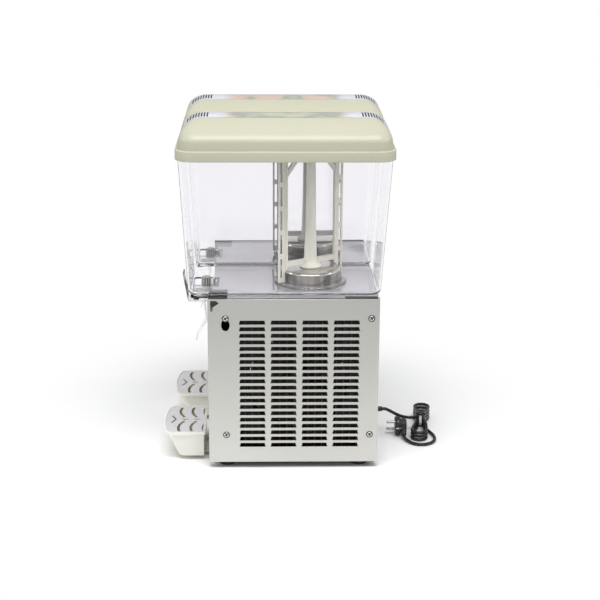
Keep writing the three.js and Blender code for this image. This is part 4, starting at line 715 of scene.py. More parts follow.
def drum(side, x):
    middle_radius, middle_z = DRUM_RADIUS - DRUM_EDGE, DRUM_TOP - DRUM_EDGE
    edge = [(middle_radius + DRUM_EDGE * sin(a), middle_z + DRUM_EDGE * cos(a)) for a in quarter(EDGE_STEPS)]
    inner = DRUM_RADIUS - SHEET
    inside = [(inner, CABINET_TOP + CLEARANCE), (inner, middle_z),
              (inner - DRUM_INSIDE_EDGE, DRUM_TOP - SHEET), (0, DRUM_TOP - SHEET)]
    body = lathe(f"drum_{side}_spun", DRUM_PIVOT + edge + DRUM_FOOT + inside, (x, DRUM_Y, 0))
    dress(body, "drum", f"evaporator_drum_{side}")
    # The upright side faces get the painted reflection
    return second_look(body, "drum_side", lambda centre, normal: (
        abs(normal.z) < UPRIGHT and centre.z < DRUM_TOP - DRUM_EDGE / 2))


GASKET_FOOT = 0.6
GASKET_EDGE = 0.8
GASKET_LIP = 0.5


def gasket(side, x):
    low, high = (v.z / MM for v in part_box(f"drum_gasket_{side}"))
    inner, outer = DRUM_RADIUS + CLEARANCE, DRUM_FLANGE
    profile = [(inner, low), (outer - GASKET_FOOT, low), (outer, low + GASKET_EDGE),
               (outer, high - GASKET_EDGE), (outer - GASKET_EDGE, high), (inner + GASKET_LIP, high),
               (inner, high - GASKET_LIP)]
    ring = lathe(f"gasket_{side}_ring", profile, (x, DRUM_Y, 0))
    return dress(ring, "gasket", f"drum_gasket_{side}")


BOWL_BOTTOM = 332.3
BOWL_BEND = 340.3
BOWL_TOP = 600
BOWL_WALL = 3
BOWL_FLOOR = 4.2
BOWL_EDGE = 8
BOWL_HALF = 100
BOWL_FRONT = -210
BOWL_REAR = 180
BOWL_TAPERS = (12, 15, 18)
BOWL_CORNER = 24
BOWL_CORNER_GROWTH = 6
BOWL_LEVELS = 4
SUMP_HALF = 30
SUMP_BOTTOM = 314
SUMP_FRONT = -191
SUMP_REAR = -143
SUMP_TAPER = 3
SUMP_EDGE = 1
SUMP_OVERLAP = 0.5
SUMP_CORNER_SHARE = 0.8
COLLAR_INNER = 57.6
COLLAR_OUTER = 68
COLLAR_BOTTOM = 332.5
COLLAR_TOP = 340.9
COLLAR_SECTION = [(COLLAR_INNER, COLLAR_BOTTOM), (COLLAR_OUTER, COLLAR_BOTTOM), (COLLAR_OUTER, 339.7),
                  (66.8, COLLAR_TOP), (58.6, COLLAR_TOP), (COLLAR_INNER, 339.9)]
COLLAR_HOLE_TOP = 340
SEAT_RADIUS = 64.6
OUTLET = 6


def bowl_ring(x, z, inset):
    up = max((z - BOWL_BEND) / (BOWL_TOP - BOWL_BEND), 0)
    below = max(BOWL_BEND - z, 0)
    shrink = inset + BOWL_EDGE - sqrt(max(BOWL_EDGE ** 2 - below ** 2, 0))
    flank, front, rear = (taper * (1 - up) + shrink for taper in BOWL_TAPERS)
    radius = BOWL_CORNER + BOWL_CORNER_GROWTH * up - shrink
    return ring_of(*about(x, BOWL_HALF - flank), BOWL_FRONT + front, BOWL_REAR - rear, radius, z,
                   CORNER_STEPS)


def sump_ring(x, inset, taper, z):
    shrink = inset + taper
    return ring_of(*about(x, SUMP_HALF - shrink), SUMP_FRONT + shrink, SUMP_REAR - shrink,
                   BOWL_EDGE - inset * SUMP_CORNER_SHARE, z, EDGE_STEPS)


def plain_bowl(x):
    """The bowl before its sump and its holes are made."""
    lower = [BOWL_BOTTOM + BOWL_EDGE * (1 - cos(a)) for a in quarter(BEND_STEPS)]
    upper = [BOWL_BEND + (BOWL_TOP - BOWL_BEND) * k / BOWL_LEVELS for k in range(1, BOWL_LEVELS + 1)]
    outer = loft("outer", [bowl_ring(x, z, 0) for z in lower + upper])
    inner_edge = BOWL_EDGE - BOWL_WALL
    rings = [with_height(bowl_ring(x, BOWL_BEND, BOWL_WALL + inner_edge * (1 - sin(a))),
                         BOWL_BOTTOM + BOWL_FLOOR + inner_edge * (1 - cos(a))) for a in quarter(EDGE_STEPS)]
    rings += [bowl_ring(x, z, BOWL_WALL) for z in upper[:-1]]
    rings.append(with_height(bowl_ring(x, BOWL_TOP, BOWL_WALL), BOWL_TOP + OVERRUN))
    return combine(outer, [loft("inside", rings)], "DIFFERENCE")


def bowl(side, x):
    centre = (x, DRUM_Y, 0)
    start = BOWL_BOTTOM - OVERRUN
    floor_top = BOWL_BOTTOM + BOWL_FLOOR
    body = plain_bowl(x)
    sump = loft("sump", [sump_ring(x, SUMP_EDGE, SUMP_TAPER, SUMP_BOTTOM),
                         sump_ring(x, 0, SUMP_TAPER, SUMP_BOTTOM + SUMP_EDGE),
                         sump_ring(x, 0, 0, floor_top - SUMP_OVERLAP)])
    body = combine(body, [lathe("collar", COLLAR_SECTION, centre), sump], "UNION")
    hollow = loft("hollow", [sump_ring(x, BOWL_WALL, SUMP_TAPER, SUMP_BOTTOM + BOWL_WALL),
                             sump_ring(x, BOWL_WALL, 0, floor_top + OVERRUN)])
    hole = lathe("hole", [(0, start), (COLLAR_INNER, start), (COLLAR_INNER, COLLAR_HOLE_TOP),
                          (0, COLLAR_TOP + OVERRUN)], centre)
    seat_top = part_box(f"drum_gasket_{side}")[1].z / MM + CLEARANCE
    seat = lathe("seat", [(0, start), (SEAT_RADIUS, start), (SEAT_RADIUS, seat_top), (0, seat_top)], centre)
    low, high = about(SUMP_BOTTOM, OVERRUN)
    outlet = lathe("outlet", [(0, low), (OUTLET, low), (OUTLET, high), (0, high)], (x, VALVE_Y, 0),
                   segments=SMALL_ROUND)
    body = combine(body, [hollow, hole, seat, outlet], "DIFFERENCE")
    body.name = f"bowl_{side}_moulded"
    return dress(body, "bowl", f"bowl_{side}")


VALVE_RIBS = 12
RIB_CORNERS = ((-0.25, 7.9), (-0.17, 9.5), (0.17, 9.5), (0.25, 7.9))
GRIP_BOTTOM = 322
GRIP_TOP = 344
GROOVE_TOP = 343.9
GROOVE_REACH = 8.6
VALVE_CORE = [(0, 302.3), (2.4, 302.3), (2.4, 317.4), (7.6, 317.4), (8.8, 318.6), (8.8, 320.4),
              (7.8, 322.2), (7.8, 343.8), (8.2, 344.2), (7.8, 345.4), (6, 346), (0, 346)]


def valve(side, x):
    outline = []
    for i in range(VALVE_RIBS):
        for offset, radius in RIB_CORNERS:
            angle = 2 * pi * (i + offset) / VALVE_RIBS
            outline.append((x + radius * cos(angle), VALVE_Y + radius * sin(angle)))
    grip = prism("grip", outline, "Z", GRIP_BOTTOM, GRIP_TOP)
    core = lathe("core", VALVE_CORE, (x, VALVE_Y, 0), segments=SMALL_ROUND)
    knob = joined(f"valve_{side}_knurled", [grip, core])
    dress(knob, "valve", f"valve_piston_{side}")
    # Faces in the grooves between the ribs get painted shade
    return second_look(knob, "groove", lambda centre, normal: (
        GRIP_BOTTOM < centre.z < GROOVE_TOP and hypot(centre.x - x, centre.y - VALVE_Y) < GROOVE_REACH))


COLUMN_PROFILE = [(0, 365.3), (19.4, 365.3), (20, 366), (20, 368), (18.2, 370.2), (15.2, 373),
                  (13.6, 376), (12.6, 381), (11.7, 392), (10, 449), (8.8, 560), (8.4, 584), (7, 587.4),
                  (5, 588), (0, 588)]
BLADE_INNER = 53
BLADE_OUTER = 70
BLADE_THICK = 3.2
BLADE_TOP = 580
BLADE_BOTTOM = 342.4
BLADE_SLOTS = 5
SLOT_RUNG = 9
SLOT_WIDTH = 5
SLOT_INSET = 3.6
RIB_HALF_WIDTH = 1.5
RIB_HALF_DEPTH = 3.5
RIB_BOTTOM = 367
# Flat parts that join a blade to the column: outline seen from the front, and half the thickness
PADDLE_PARTS = {
    "arm": ([(9, 372), (BLADE_INNER, 372), (BLADE_INNER, 382), (9, 382)], 2.5),
    "brace": ([(54, 539), (54, 551), (24, 587.5), (14, 587.5)], 2.5),
    "bar": ([(0, 578), (24, 578), (24, 587.6), (0, 587.6)], 2.4),
}
BORE_SECTION = [(0, 360), (5, 360), (5, 393), (0, 393)]
PADDLE_TURNS = {"right": radians(120), "left": radians(94)}
PADDLE_EDGE = 0.5


def ladder_blade(hand):
    blade = block("blade", *span(hand, BLADE_INNER, BLADE_OUTER), *about(-ROW_SHIFT, BLADE_THICK / 2),
                  BLADE_BOTTOM, BLADE_TOP)
    pitch = (BLADE_TOP - BLADE_BOTTOM - SLOT_RUNG) / BLADE_SLOTS
    edge = BLADE_OUTER - SLOT_INSET
    slots = []
    for i in range(BLADE_SLOTS):
        z = BLADE_BOTTOM + SLOT_RUNG + i * pitch
        slots.append(block("slot", *span(hand, edge, edge - SLOT_WIDTH), *about(-ROW_SHIFT, OVERRUN),
                           z, z + pitch - SLOT_RUNG))
    return combine(blade, slots, "DIFFERENCE")


def paddle(side, x):
    """Column with a ladder blade on each side, made about the row's middle and then turned and moved."""
    column = lathe("column", COLUMN_PROFILE, (0, -ROW_SHIFT, 0), segments=MIDDLE_ROUND)
    parts = []
    for hand in (-1, 1):
        parts.append(ladder_blade(hand))
        parts.append(block("rib", *span(hand, *about(BLADE_INNER, RIB_HALF_WIDTH)),
                           *about(-ROW_SHIFT, RIB_HALF_DEPTH), RIB_BOTTOM, BLADE_TOP))
        for name, (outline, half) in PADDLE_PARTS.items():
            parts.append(prism(name, [(hand * u, z) for u, z in outline], "Y", *about(-ROW_SHIFT, half)))
    body = combine(column, parts, "UNION")
    bore = lathe("bore", BORE_SECTION, (0, -ROW_SHIFT, 0), segments=SMALL_ROUND)
    body = combine(body, [bore], "DIFFERENCE")
    body.data.transform(Matrix.Translation(at(x, DRUM_Y, 0)) @ Matrix.Rotation(PADDLE_TURNS[side], 4, "Z"))
    body.name = f"paddle_{side}_moulded"
    bevelled(body, PADDLE_EDGE, MOULDED_ANGLE)
    return dress(body, "ivory", f"paddle_{side}")


# Lid: rim, step, rounded dome; the strip in its crown follows the dome's own section

LID_HALF = 102.5
LID_FRONT = -214
LID_REAR = 184
LID_BOTTOM = 584.5
LID_STEP = 5
LID_SHOULDER = 617
LID_CROWN = 655
LID_CURVE = 46
LID_POWER = 2 / 1.8
LID_DRAFT = 1.5
LID_WALL = 2.2
LID_CORNER = 33
LID_CORNER_SHARE = 0.55
# Rim and step of the lid, from below: distance in from the widest outline, and height
LID_SKIRT = ((0.5, LID_BOTTOM), (0, 585.1), (0, 601.4), (0.5, 602.5), (1.6, 603), (4, 603), (4.8, 603.6),
             (LID_STEP, 604.8))
DOME_STEPS = 18
DOME_INNER_STEPS = 12
STRIP_HALF = 29
STRIP_FRONT = -200
STRIP_REAR = 170
STRIP_CORNER = 2.5
STRIP_CORNER_STEPS = 4
STRIP_RISE = CLEARANCE
STRIP_UNDER = 0.5 - SHEET
TRENCH_GAP = 0.5
TRENCH_CORNER = 3
CUT_TOP = 665
VENT_REACH = 50
# Sheet of painted shade behind the vents: inset from the strip's edges, and its upper and lower lifting
SHADE_SHEET_INSET = 3
SHADE_SHEET_UPPER = 0.4 - SHEET
SHADE_SHEET_LOWER = 0.1 - SHEET


def lid_ring(x, inset, z, side_inset=None):
    half = max(LID_HALF - (inset if side_inset is None else side_inset), CLEARANCE)
    radius = min(max(LID_CORNER - inset * LID_CORNER_SHARE, LID_STEP), half)
    return ring_of(*about(x, half), LID_FRONT + inset, LID_REAR - inset, radius, z, CORNER_STEPS)


def dome_rings(x, offset, steps):
    rings = []
    rise = LID_CROWN - LID_SHOULDER
    start = LID_STEP + LID_DRAFT
    for angle in quarter(steps):
        inward = 1 - abs(cos(angle)) ** LID_POWER
        height = LID_SHOULDER + rise * sin(angle) ** LID_POWER - offset
        rings.append(lid_ring(x, start + LID_CURVE * inward + offset, height,
                              start + (LID_HALF - start) * inward + offset))
    return rings


def lid_outer(x, lift=0):
    """The solid within the lid's outside, lifted or lowered."""
    skirt = [lid_ring(x, inset, z) for inset, z in LID_SKIRT]
    whole = loft("lid_outer", skirt + dome_rings(x, 0, DOME_STEPS))
    whole.data.transform(Matrix.Translation((0, 0, lift * MM)))
    return whole


def strip_column(x, gap, corner):
    """An upright column over the strip's outline, wider by a gap."""
    outline = ring_of(*about(x, STRIP_HALF + gap), STRIP_FRONT - gap, STRIP_REAR + gap, corner,
                      LID_SHOULDER, STRIP_CORNER_STEPS)
    return loft("column", [outline, with_height(outline, CUT_TOP)])


def lid(side, x):
    outer = lid_outer(x)
    grip = LID_HALF - BOWL_HALF - CLEARANCE
    pocket = loft("pocket", [lid_ring(x, grip, z) for z in (LID_BOTTOM - OVERRUN, BOWL_TOP + CLEARANCE)])
    rings = dome_rings(x, LID_WALL, DOME_INNER_STEPS)
    hollow = loft("hollow", [with_height(rings[0], LID_BOTTOM)] + rings)
    recess = combine(strip_column(x, TRENCH_GAP, TRENCH_CORNER), [lid_outer(x, -SHEET)], "DIFFERENCE")
    body = combine(outer, [pocket, hollow, recess], "DIFFERENCE")
    body.name = f"lid_{side}_moulded"
    return dress(body, "lid", f"lid_{side}")


def between_crowns(base, x, upper, lower):
    """What of the base lies between two liftings of the lid's outside."""
    return combine(combine(base, [lid_outer(x, upper)], "INTERSECT"), [lid_outer(x, lower)], "DIFFERENCE")


def vent_shade(side, x):
    """A thin dark sheet of painted shade between the lid and the strip, behind the vents at both ends."""
    bars = [block("bar", *about(x, STRIP_HALF - SHADE_SHEET_INSET), low, high, LID_SHOULDER, CUT_TOP)
            for low, high in ((STRIP_FRONT + SHADE_SHEET_INSET, STRIP_FRONT + VENT_REACH),
                              (STRIP_REAR - VENT_REACH, STRIP_REAR - SHADE_SHEET_INSET))]
    shade_sheet = between_crowns(joined(f"vent_shade_{side}", bars), x, SHADE_SHEET_UPPER, SHADE_SHEET_LOWER)
    return dress(shade_sheet, "inside", body=f"lid_{side}")


VENTS = 8
VENT_PITCH = 5.2
VENT_WIDTH = 2.8
VENT_HALF = 25
VENT_INSET = 7
STRIP_SILVER = (0.62, 0.62, 0.68)
STRIP_ROUGHNESS = 0.22
STRIP_METAL = 0.1
STRIP_COAT = 0.3
BLOB_SCALE = 26.0
BLOB_REACH = 0.03
BLOB_SHADE = 0.75
BLOB_SHARE = 0.5
TONE_SCALE = 14.0
TONE_DETAIL = 1.0
TONES = ((0.3, (0.5, 0.5, 0.36)), (0.42, (0.3, 0.34, 0.28)), (0.5, (0.54, 0.43, 0.35)),
         (0.58, (0.64, 0.44, 0.36)), (0.7, (0.5, 0.48, 0.5)))
BAND_FADE = (0.09, 0.125)
BAND_GROUND = (0.66, 0.66, 0.71, 1)


def strip_material():
    """Silvery sheet with a generic band of soft leaf and fruit colours in its middle."""
    mat = material("strip_print", STRIP_SILVER, STRIP_ROUGHNESS, STRIP_METAL, Coat_Weight=STRIP_COAT)
    blobs = add_node(mat, "ShaderNodeTexVoronoi", Scale=BLOB_SCALE, feature="SMOOTH_F1")
    feed(mat, blobs.inputs["Vector"], object_place(mat))
    tones = ramped(mat, noise(mat, TONE_SCALE, TONE_DETAIL), TONES)
    shades = mapped(mat, blobs.outputs["Distance"], 0, BLOB_REACH, BLOB_SHADE)
    pattern = mixed(mat, BLOB_SHARE, tones, shades, "MULTIPLY")
    middle = (STRIP_FRONT + STRIP_REAR) / 2 + ROW_SHIFT
    away = computed(mat, "ABSOLUTE", computed(mat, "SUBTRACT", place_along(mat, "Y"), middle * MM))
    edge = mapped(mat, away, *BAND_FADE, interpolation_type="SMOOTHSTEP")
    feed(mat, shader_of(mat).inputs["Base Color"], mixed(mat, edge, pattern, BAND_GROUND))
    return mat


LOOKS["print"] = strip_material()


def lid_strip(side, x):
    strip = between_crowns(strip_column(x, 0, STRIP_CORNER), x, STRIP_RISE, STRIP_UNDER)
    slots = []
    for edge, step in ((STRIP_FRONT + VENT_INSET, VENT_PITCH), (STRIP_REAR - VENT_INSET, -VENT_PITCH)):
        for i in range(VENTS):
            slots.append(block("vent", *about(x, VENT_HALF), *about(edge + i * step, VENT_WIDTH / 2),
                               LID_SHOULDER, CUT_TOP + OVERRUN))
    strip = combine(strip, slots, "DIFFERENCE")
    strip.name = f"strip_{side}_printed"
    return dress(strip, "print", f"lid_strip_{side}")


TRAY_HALF = 71.5
TRAY_FLOOR = 8
TRAY_RIM = 57
TRAY_UNDER = 52
TRAY_WALL = 2.2
TRAY_LIP = 3
TRAY_FRONT = -238
TRAY_REAR = -156.5
TRAY_FRONT_CORNER = 14
TRAY_REAR_CORNER = 1.8
TRAY_LEAST_CORNER = 0.8
TRAY_CORNER_STEPS = 10
TRAY_BOW = 8
TRAY_FRONT_SLOPE = 21
TRAY_SIDE_SLOPE = 1.5
TRAY_OUT = {"right": 10, "left": 0}
GRID_SINK = 2
# Outside of the tray, from below: distance in from the rim, and height
TRAY_SECTION = ((4.2, TRAY_FLOOR), (3.3, 8.4), (TRAY_LIP, 9.2), (TRAY_LIP, TRAY_UNDER), (0.3, 52.1),
                (0, 52.5), (0, 56.2), (0.3, 56.8), (0.8, TRAY_RIM))


def tray_ring(x, out, inset, z):
    """A ring round the tray: the front leans back towards the floor and bows out in the middle."""
    share = max(TRAY_UNDER - z, 0) / (TRAY_UNDER - TRAY_FLOOR)
    half = TRAY_HALF - inset - TRAY_SIDE_SLOPE * share
    front = TRAY_FRONT + inset + TRAY_FRONT_SLOPE * share
    rear = TRAY_REAR - inset
    wide = TRAY_FRONT_CORNER - inset
    tight = max(TRAY_REAR_CORNER - inset, TRAY_LEAST_CORNER)
    steps = TRAY_CORNER_STEPS
    reach = half - wide
    straight = [(reach * (2 * (i + 1) / steps - 1), front) for i in range(steps - 1)]
    before = [*corner(-reach, front + wide, wide, 2, steps), *straight,
              *corner(reach, front + wide, wide, 3, steps)]
    bowed = [(u, y + TRAY_BOW * (u / half) ** 2) for u, y in before]
    behind = [*corner(half - tight, rear - tight, tight, 0, steps),
              *corner(tight - half, rear - tight, tight, 1, steps)]
    return [(x + u, y - out, z) for u, y in behind + bowed]


def drip_tray(side, x):
    out = TRAY_OUT[side]

    def tray_loft(name, *pairs):
        return loft(name, [tray_ring(x, out, inset, z) for inset, z in pairs])

    inner = TRAY_LIP + TRAY_WALL
    body = tray_loft("tray", *TRAY_SECTION)
    hollow = tray_loft("hollow", (inner, TRAY_FLOOR + TRAY_WALL), (inner, TRAY_RIM + OVERRUN))
    shelf = tray_loft("shelf", (TRAY_WALL, TRAY_RIM - GRID_SINK), (TRAY_WALL, TRAY_RIM + OVERRUN))
    body = combine(body, [hollow, shelf], "DIFFERENCE")
    body.name = f"drip_tray_{side}_moulded"
    dress(body, "tray", f"drip_tray_{side}")
    middle = (TRAY_FRONT + TRAY_REAR) / 2 - out

    def inward(centre, normal):
        bottom = normal.z > FACING and centre.z < TRAY_UNDER
        wall = normal.x * (centre.x - x) + normal.y * (centre.y - middle) < 0
        return centre.z < TRAY_RIM - GRID_SINK + CLEARANCE and (bottom or wall)

    # The tray's inner faces under the grid get painted shade
    return second_look(body, "tray_inside", inward)


SHIELD_BOTTOM = 304
SHIELD_REAR = -192
LEVEL = 0.5

for side, x in SIDES.items():
    for build in (drum, gasket, bowl, valve, paddle, lid, lid_strip, vent_shade):
        build(side, x)
    eased("spout", side)
    second_look(eased("tap_lever", side), "shield",
                lambda centre, normal: centre.z > SHIELD_BOTTOM and centre.y < SHIELD_REAR)
    drip_tray(side, x)
    # The grid's slot walls and underside get the tray's painted shade
    second_look(eased("drip_grid", side), "tray_inside",
                lambda centre, normal: abs(normal.z) < LEVEL or normal.z < -FACING)
    eased("thermostat_knob", side)
eased("rocker_power")
for side in SIDES:
    eased("rocker_stirrer", side)

# Cord: lead, hank and tail in one smooth line, with strain relief, tie and plug

CORD_DIAMETER = 6.4
CORD_RADIUS = CORD_DIAMETER / 2
GLAND_X = 31
GLAND_Z = 48
RELIEF_LENGTH = 25
HANK_WAIST_PLACE = (6, 261.5)
HANK_TURN = radians(-8)
FAR_RUN = 46
NEAR_RUN = 66
HANK_BEND = 14
HANK_WAIST = 5.4
HANK_LAYERS = 4
LAYER_PITCH = 7.3
WAIST_LIFT = 1.5
WAIST_LIFT_REACH = 30
HALF_LOOPS = 2 * HANK_LAYERS - 1
HALF_STEPS = 24
CLIMB_START_SHARE = 0.2
CLIMB_SHARE = 0.18
RUN_SHARE = 0.375


def half_turn(half, share):
    """Place on one half loop of the hank, in the hank's own plane."""
    hand = 1 if half % 2 else -1
    reach = NEAR_RUN if half % 2 else FAR_RUN
    place = min(share, 1 - share)
    sign = (1 if share < 0.5 else -1) * hand
    if place < RUN_SHARE:
        u = reach * place / RUN_SHARE
        v = HANK_BEND - (HANK_BEND - HANK_WAIST) * (0.5 + 0.5 * cos(pi * u / reach))
        return hand * u, sign * v
    angle = (share - 0.5) / (0.5 - RUN_SHARE) * pi / 2
    return hand * (reach + HANK_BEND * cos(angle)), -hand * HANK_BEND * sin(angle)


def smooth(value):
    t = min(max(value, 0), 1)
    return 0.5 - 0.5 * cos(pi * t)


def winding_point(halves):
    half = min(int(halves), HALF_LOOPS - 1)
    share = halves - half
    u, v = half_turn(half, share)
    drop = half // 2 + (smooth((share - CLIMB_START_SHARE) / CLIMB_SHARE) if half % 2 else 0)
    lift = WAIST_LIFT * smooth(1 - abs(u) / WAIST_LIFT_REACH)
    return u, v, CORD_RADIUS + lift + LAYER_PITCH * (HANK_LAYERS - 1 - drop)


def in_hank(u, v, z):
    along, across = turned(u, v, HANK_TURN)
    return HANK_WAIST_PLACE[0] + along, HANK_WAIST_PLACE[1] + across, z


HANK_START = winding_point(0)
HANK_FINISH = winding_point(HALF_LOOPS)
LEAD_START = REAR_FACE + RELIEF_LENGTH
LEAD = [(GLAND_X, LEAD_START, GLAND_Z), (GLAND_X, LEAD_START + CORD_DIAMETER, 47.7), (31.2, 199, 42.4),
        (31.6, 209, 37), (31.5, 220, 32.2), (29.4, 231, 29), (25.6, 240.4, 27), (20.4, 248.6, 25.9),
        in_hank(CORD_DIAMETER + 1, HANK_START[1], HANK_START[2])]
PLUG_X = 47
PLUG_Z = 18.7
BOOT_Y = 222
BOOT_LENGTH = 30
PLUG_TILT = radians(25)
BOOT_RISE = 3
BOOT_END = (PLUG_X + BOOT_LENGTH * cos(PLUG_TILT), BOOT_Y,
            PLUG_Z + BOOT_RISE - BOOT_LENGTH * sin(PLUG_TILT))
BOOT_RUN = (BOOT_END[0] + CORD_DIAMETER * cos(PLUG_TILT), BOOT_Y + CLEARANCE,
            max(BOOT_END[2] - CORD_DIAMETER * sin(PLUG_TILT), CORD_RADIUS))
FLOOR_RUN = 3.5
TAIL = [in_hank(CORD_DIAMETER + 1, HANK_FINISH[1], HANK_FINISH[2]), (30, 270, 4),
        *((x, y, FLOOR_RUN) for x, y in ((42, 275.4), (56, 280.2), (72, 282.8), (88, 281), (101, 273),
                                         (108.4, 260.4), (108, 246.6), (101, 235.4))), BOOT_RUN, BOOT_END]
SPLINE_STEPS = 5
TUBE_RESOLUTION = 3


def blend(a, b, start, end, t):
    return a * ((end - t) / (end - start)) + b * ((t - start) / (end - start))


def spline(points):
    """A smooth line through the points, without loops where they lie close."""
    pts = [Vector(p) for p in points]
    pts = [pts[0] * 2 - pts[1]] + pts + [pts[-1] * 2 - pts[-2]]
    line = []
    for i in range(1, len(pts) - 2):
        p = pts[i - 1:i + 3]
        t = [0]
        for near, far in zip(p, p[1:]):
            t.append(t[-1] + (far - near).length ** 0.5)
        for k in range(SPLINE_STEPS):
            now = t[1] + (t[2] - t[1]) * k / SPLINE_STEPS
            a = [blend(*pair, *limits, now) for *pair, limits in zip(p, p[1:], zip(t, t[1:]))]
            b = [blend(*pair, *limits, now) for *pair, limits in zip(a, a[1:], zip(t, t[2:]))]
            line.append(blend(*b, t[1], t[2], now))
    line.append(pts[-2])
    return line


def cord_tube(line):
    curve = bpy.data.curves.new("cord_whole", "CURVE")
    curve.dimensions = "3D"
    curve.bevel_depth = CORD_RADIUS * MM
    curve.bevel_resolution = TUBE_RESOLUTION
    curve.use_fill_caps = True
    path = curve.splines.new("POLY")
    path.points.add(len(line) - 1)
    for point, place in zip(path.points, line):
        point.co = (*at(*place), 1)
    return placed("cord_whole", curve)


hank_line = [Vector(in_hank(*winding_point(i / HALF_STEPS))) for i in range(HALF_LOOPS * HALF_STEPS + 1)]
cord_line = spline(LEAD)[:-1] + hank_line + spline(TAIL)[1:]
cord = cord_tube(cord_line)
cord.data.materials.append(LOOKS["cord"])
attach(cord, "cabinet")
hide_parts("cord_lead", "cord_hank", "cord_tail")

# Strain relief: radius, and distance behind the cabinet's rear; the ribs grow narrower towards the cord
RELIEF_FLANGE = [(0, -4.5), (7, -4.5), (7, 0.3), (10.4, 0.3), (11, 0.9), (11, 2.4), (10.4, 3), (7.4, 3)]
RELIEF_TIP = [(4.6, RELIEF_LENGTH - 0.6), (4.1, RELIEF_LENGTH), (0, RELIEF_LENGTH)]
RELIEF_RIBS = 6
RIBS_START = 3.6
RIBS_LENGTH = RELIEF_LENGTH - 4.6
RIB_RADIUS = 7
RIB_TAPER = 2.4
# One rib: what is taken off its radius, and share of its length
RIB_SECTION = ((0.8, 0), (0.8, 0.3), (0, 0.42), (0.2, 0.95))


def strain_relief():
    profile = list(RELIEF_FLANGE)
    width = RIBS_LENGTH / RELIEF_RIBS
    for i in range(RELIEF_RIBS):
        start = RIBS_START + RIBS_LENGTH * i / RELIEF_RIBS
        radius = RIB_RADIUS - RIB_TAPER * (start / RELIEF_LENGTH)
        profile += [(radius - less, start + width * share) for less, share in RIB_SECTION]
    profile += RELIEF_TIP
    ribbed = lathe("relief_ribbed", [(radius, REAR_FACE + out) for radius, out in profile],
                   (GLAND_X, 0, GLAND_Z), "Y", MIDDLE_ROUND)
    return dress(ribbed, "cord", "cord_relief")


PLUG_ROUND = 64
PLUG_SECTION = [(0, 206), (15.5, 206), (16.4, 206.6), (17.6, 206.2), (18.4, 207.2), (18.4, 213),
                (18, 214.6), (15.2, 216.6), (14.4, 219), (13.6, 226.6), (12, 228.6), (9, 229), (0, 229)]
BOOT_SECTION = [(0, 0), (7, 0), (6.4, 13), (5.6, 13.4), (5.6, 15), (6.1, 15.4), (5.8, 18.4), (5.1, 18.8),
                (5.1, 20.2), (5.6, 20.6), (5.2, 23.6), (4.6, 24), (4.6, 25.4), (5, 25.8), (4.4, 29.4),
                (3.9, BOOT_LENGTH), (0, BOOT_LENGTH)]
# Flat sides of the plug: distance from its middle to both ends of the cut, and its limits along y
FLAT_SPAN = (15.4, 30)
FLAT_YS = (207.2, 213.6)
FLAT_HALF_HEIGHT = 7
PLUG_EDGE = 0.4
PIN_OFFSETS = {"low": -9.5, "high": 9.5}
PIN_SECTION = [(0, 189), (1.2, 189.1), (2.1, 190), (2.4, 191.4), (2.4, 206.4), (0, 206.4)]
CLIP_XS = (62.5, 63.4)
CLIP_YS = (206, 217)
CLIP_HALF_HEIGHT = 1


def plug():
    body = lathe("plug_body", PLUG_SECTION, (PLUG_X, 0, PLUG_Z), "Y", PLUG_ROUND)
    boot = lathe("boot", BOOT_SECTION, (0, -ROW_SHIFT, 0), "X", SMALL_ROUND)
    boot.data.transform(Matrix.Translation(at(PLUG_X, BOOT_Y, PLUG_Z + BOOT_RISE))
                        @ Matrix.Rotation(PLUG_TILT, 4, "Y"))
    flats = []
    for hand in (-1, 1):
        low, high = span(hand, *FLAT_SPAN)
        flats.append(block("flat", PLUG_X + low, PLUG_X + high, *FLAT_YS, *about(PLUG_Z, FLAT_HALF_HEIGHT)))
    body = combine(combine(body, [boot], "UNION"), flats, "DIFFERENCE")
    body.name = "plug_moulded"
    bevelled(body, PLUG_EDGE, MOULDED_ANGLE)
    return dress(body, "black", "plug", angle=MOULDED_ANGLE)


def plug_pin(name, offset):
    centre = (PLUG_X + offset * sin(PLUG_TILT), 0, PLUG_Z + offset * cos(PLUG_TILT))
    return dress(lathe(f"plug_pin_{name}", PIN_SECTION, centre, "Y", SMALL_ROUND), "pin")


relief = strain_relief()
tie = eased("cord_tie")
plug_body = plug()
pins = [plug_pin(name, offset) for name, offset in PIN_OFFSETS.items()]
earth = dress(block("plug_earth_clip", *CLIP_XS, *CLIP_YS, *about(PLUG_Z, CLIP_HALF_HEIGHT)),
              "chrome")

# Stage: white floor that keeps the shadow, white surroundings, soft lamps; all in metres

FLOOR_REACH = 6.0
FLOOR_FADE = (0.27, 0.7)
FLOOR_COLOUR = (0.93, 0.93, 0.93)
FLOOR_ROUGHNESS = 0.9
FLOOR_GLOSS = 0.1
SURROUNDINGS_COLOUR = (0.96, 0.97, 1.0, 1)
SURROUNDINGS_STRENGTH = 0.5
WHITE = (1, 1, 1, 1)
LAMP_TARGET = (0, 0, 0.4)
# Place, size and power of each lamp
LAMPS = {
    "key": ((0.9, 0, 2.7), (2.4, 1.1), 62),
    "front_side": ((0.15, -2.2, 1.9), (0.35, 0.35), 7),
    "rear_side": ((0.15, 2.2, 1.9), (0.35, 0.35), 7),
}


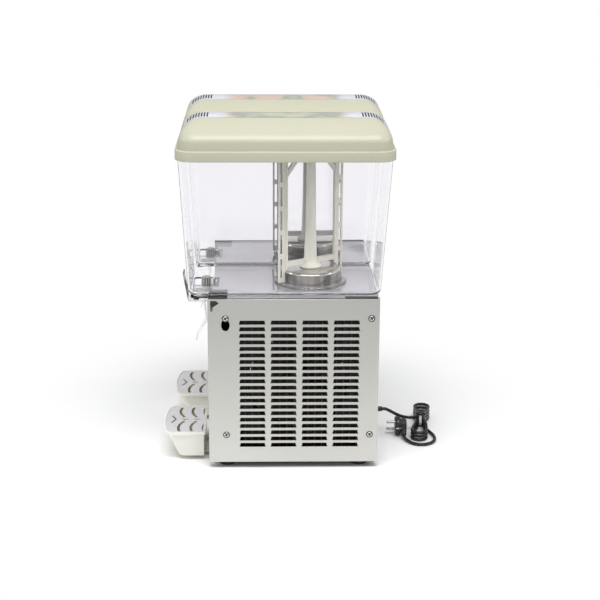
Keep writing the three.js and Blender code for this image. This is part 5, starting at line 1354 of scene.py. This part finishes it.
def floor_material():
    """Lit white near the object; plain white towards the horizon."""
    mat = material("floor_white", FLOOR_COLOUR, FLOOR_ROUGHNESS, Specular_IOR_Level=FLOOR_GLOSS)
    away = add_node(mat, "ShaderNodeVectorMath", operation="LENGTH")
    feed(mat, away.inputs[0], object_place(mat))
    fade = mapped(mat, away.outputs["Value"], *FLOOR_FADE, interpolation_type="SMOOTHSTEP")
    white = add_node(mat, "ShaderNodeEmission", Strength=1.0)
    factor = computed(mat, "MULTIPLY", fade, seen_directly(mat))
    mix_surfaces(mat, factor, shader_of(mat).outputs["BSDF"], white.outputs["Emission"])
    return mat


floor_mesh = bpy.data.meshes.new("floor")
floor_mesh.from_pydata([(-FLOOR_REACH, -FLOOR_REACH, 0), (FLOOR_REACH, -FLOOR_REACH, 0),
                        (FLOOR_REACH, FLOOR_REACH, 0), (-FLOOR_REACH, FLOOR_REACH, 0)], [], [(0, 1, 2, 3)])
floor = placed("floor", floor_mesh)
floor.data.materials.append(floor_material())

world = bpy.data.worlds.new("surroundings")
scene.world = world
world.use_nodes = True
light_background = world.node_tree.nodes["Background"]
light_background.inputs["Color"].default_value = SURROUNDINGS_COLOUR
light_background.inputs["Strength"].default_value = SURROUNDINGS_STRENGTH
seen_background = add_node(world, "ShaderNodeBackground", Color=WHITE, Strength=1.0)
mix_surfaces(world, seen_directly(world), light_background.outputs["Background"],
             seen_background.outputs["Background"], "World Output")

for name, (place, size, power) in LAMPS.items():
    light = bpy.data.lights.new(name, "AREA")
    light.shape = "RECTANGLE"
    light.size, light.size_y = size
    light.energy = power
    lamp = placed(name, light)
    lamp.location = place
    lamp.rotation_euler = (Vector(LAMP_TARGET) - Vector(place)).to_track_quat("-Z", "Y").to_euler()

# Camera fitted to the photograph

PHOTO_WIDTH = 600
FOCAL_PIXELS = 1444.3
SENSOR = 36
CAMERA_PLACE = (2726.7, -50.3, 1102.5)
PITCH, YAW, ROLL = (radians(a) for a in (17.04, 1.40, 0.29))

forward = Vector((-cos(PITCH) * cos(YAW), cos(PITCH) * sin(YAW), -sin(PITCH)))
level = Vector((sin(YAW), cos(YAW), 0))
upward = level.cross(forward)
right_hand = level * cos(ROLL) + upward * sin(ROLL)
head_up = upward * cos(ROLL) - level * sin(ROLL)
camera_data = bpy.data.cameras.new("camera")
camera_data.sensor_width = SENSOR
camera_data.lens = SENSOR * FOCAL_PIXELS / PHOTO_WIDTH
camera = placed("camera", camera_data)
turn = Matrix((right_hand, head_up, -forward)).transposed().to_4x4()
camera.matrix_world = Matrix.Translation(at(*CAMERA_PLACE)) @ turn
scene.camera = camera
scene.view_settings.view_transform = "Standard"
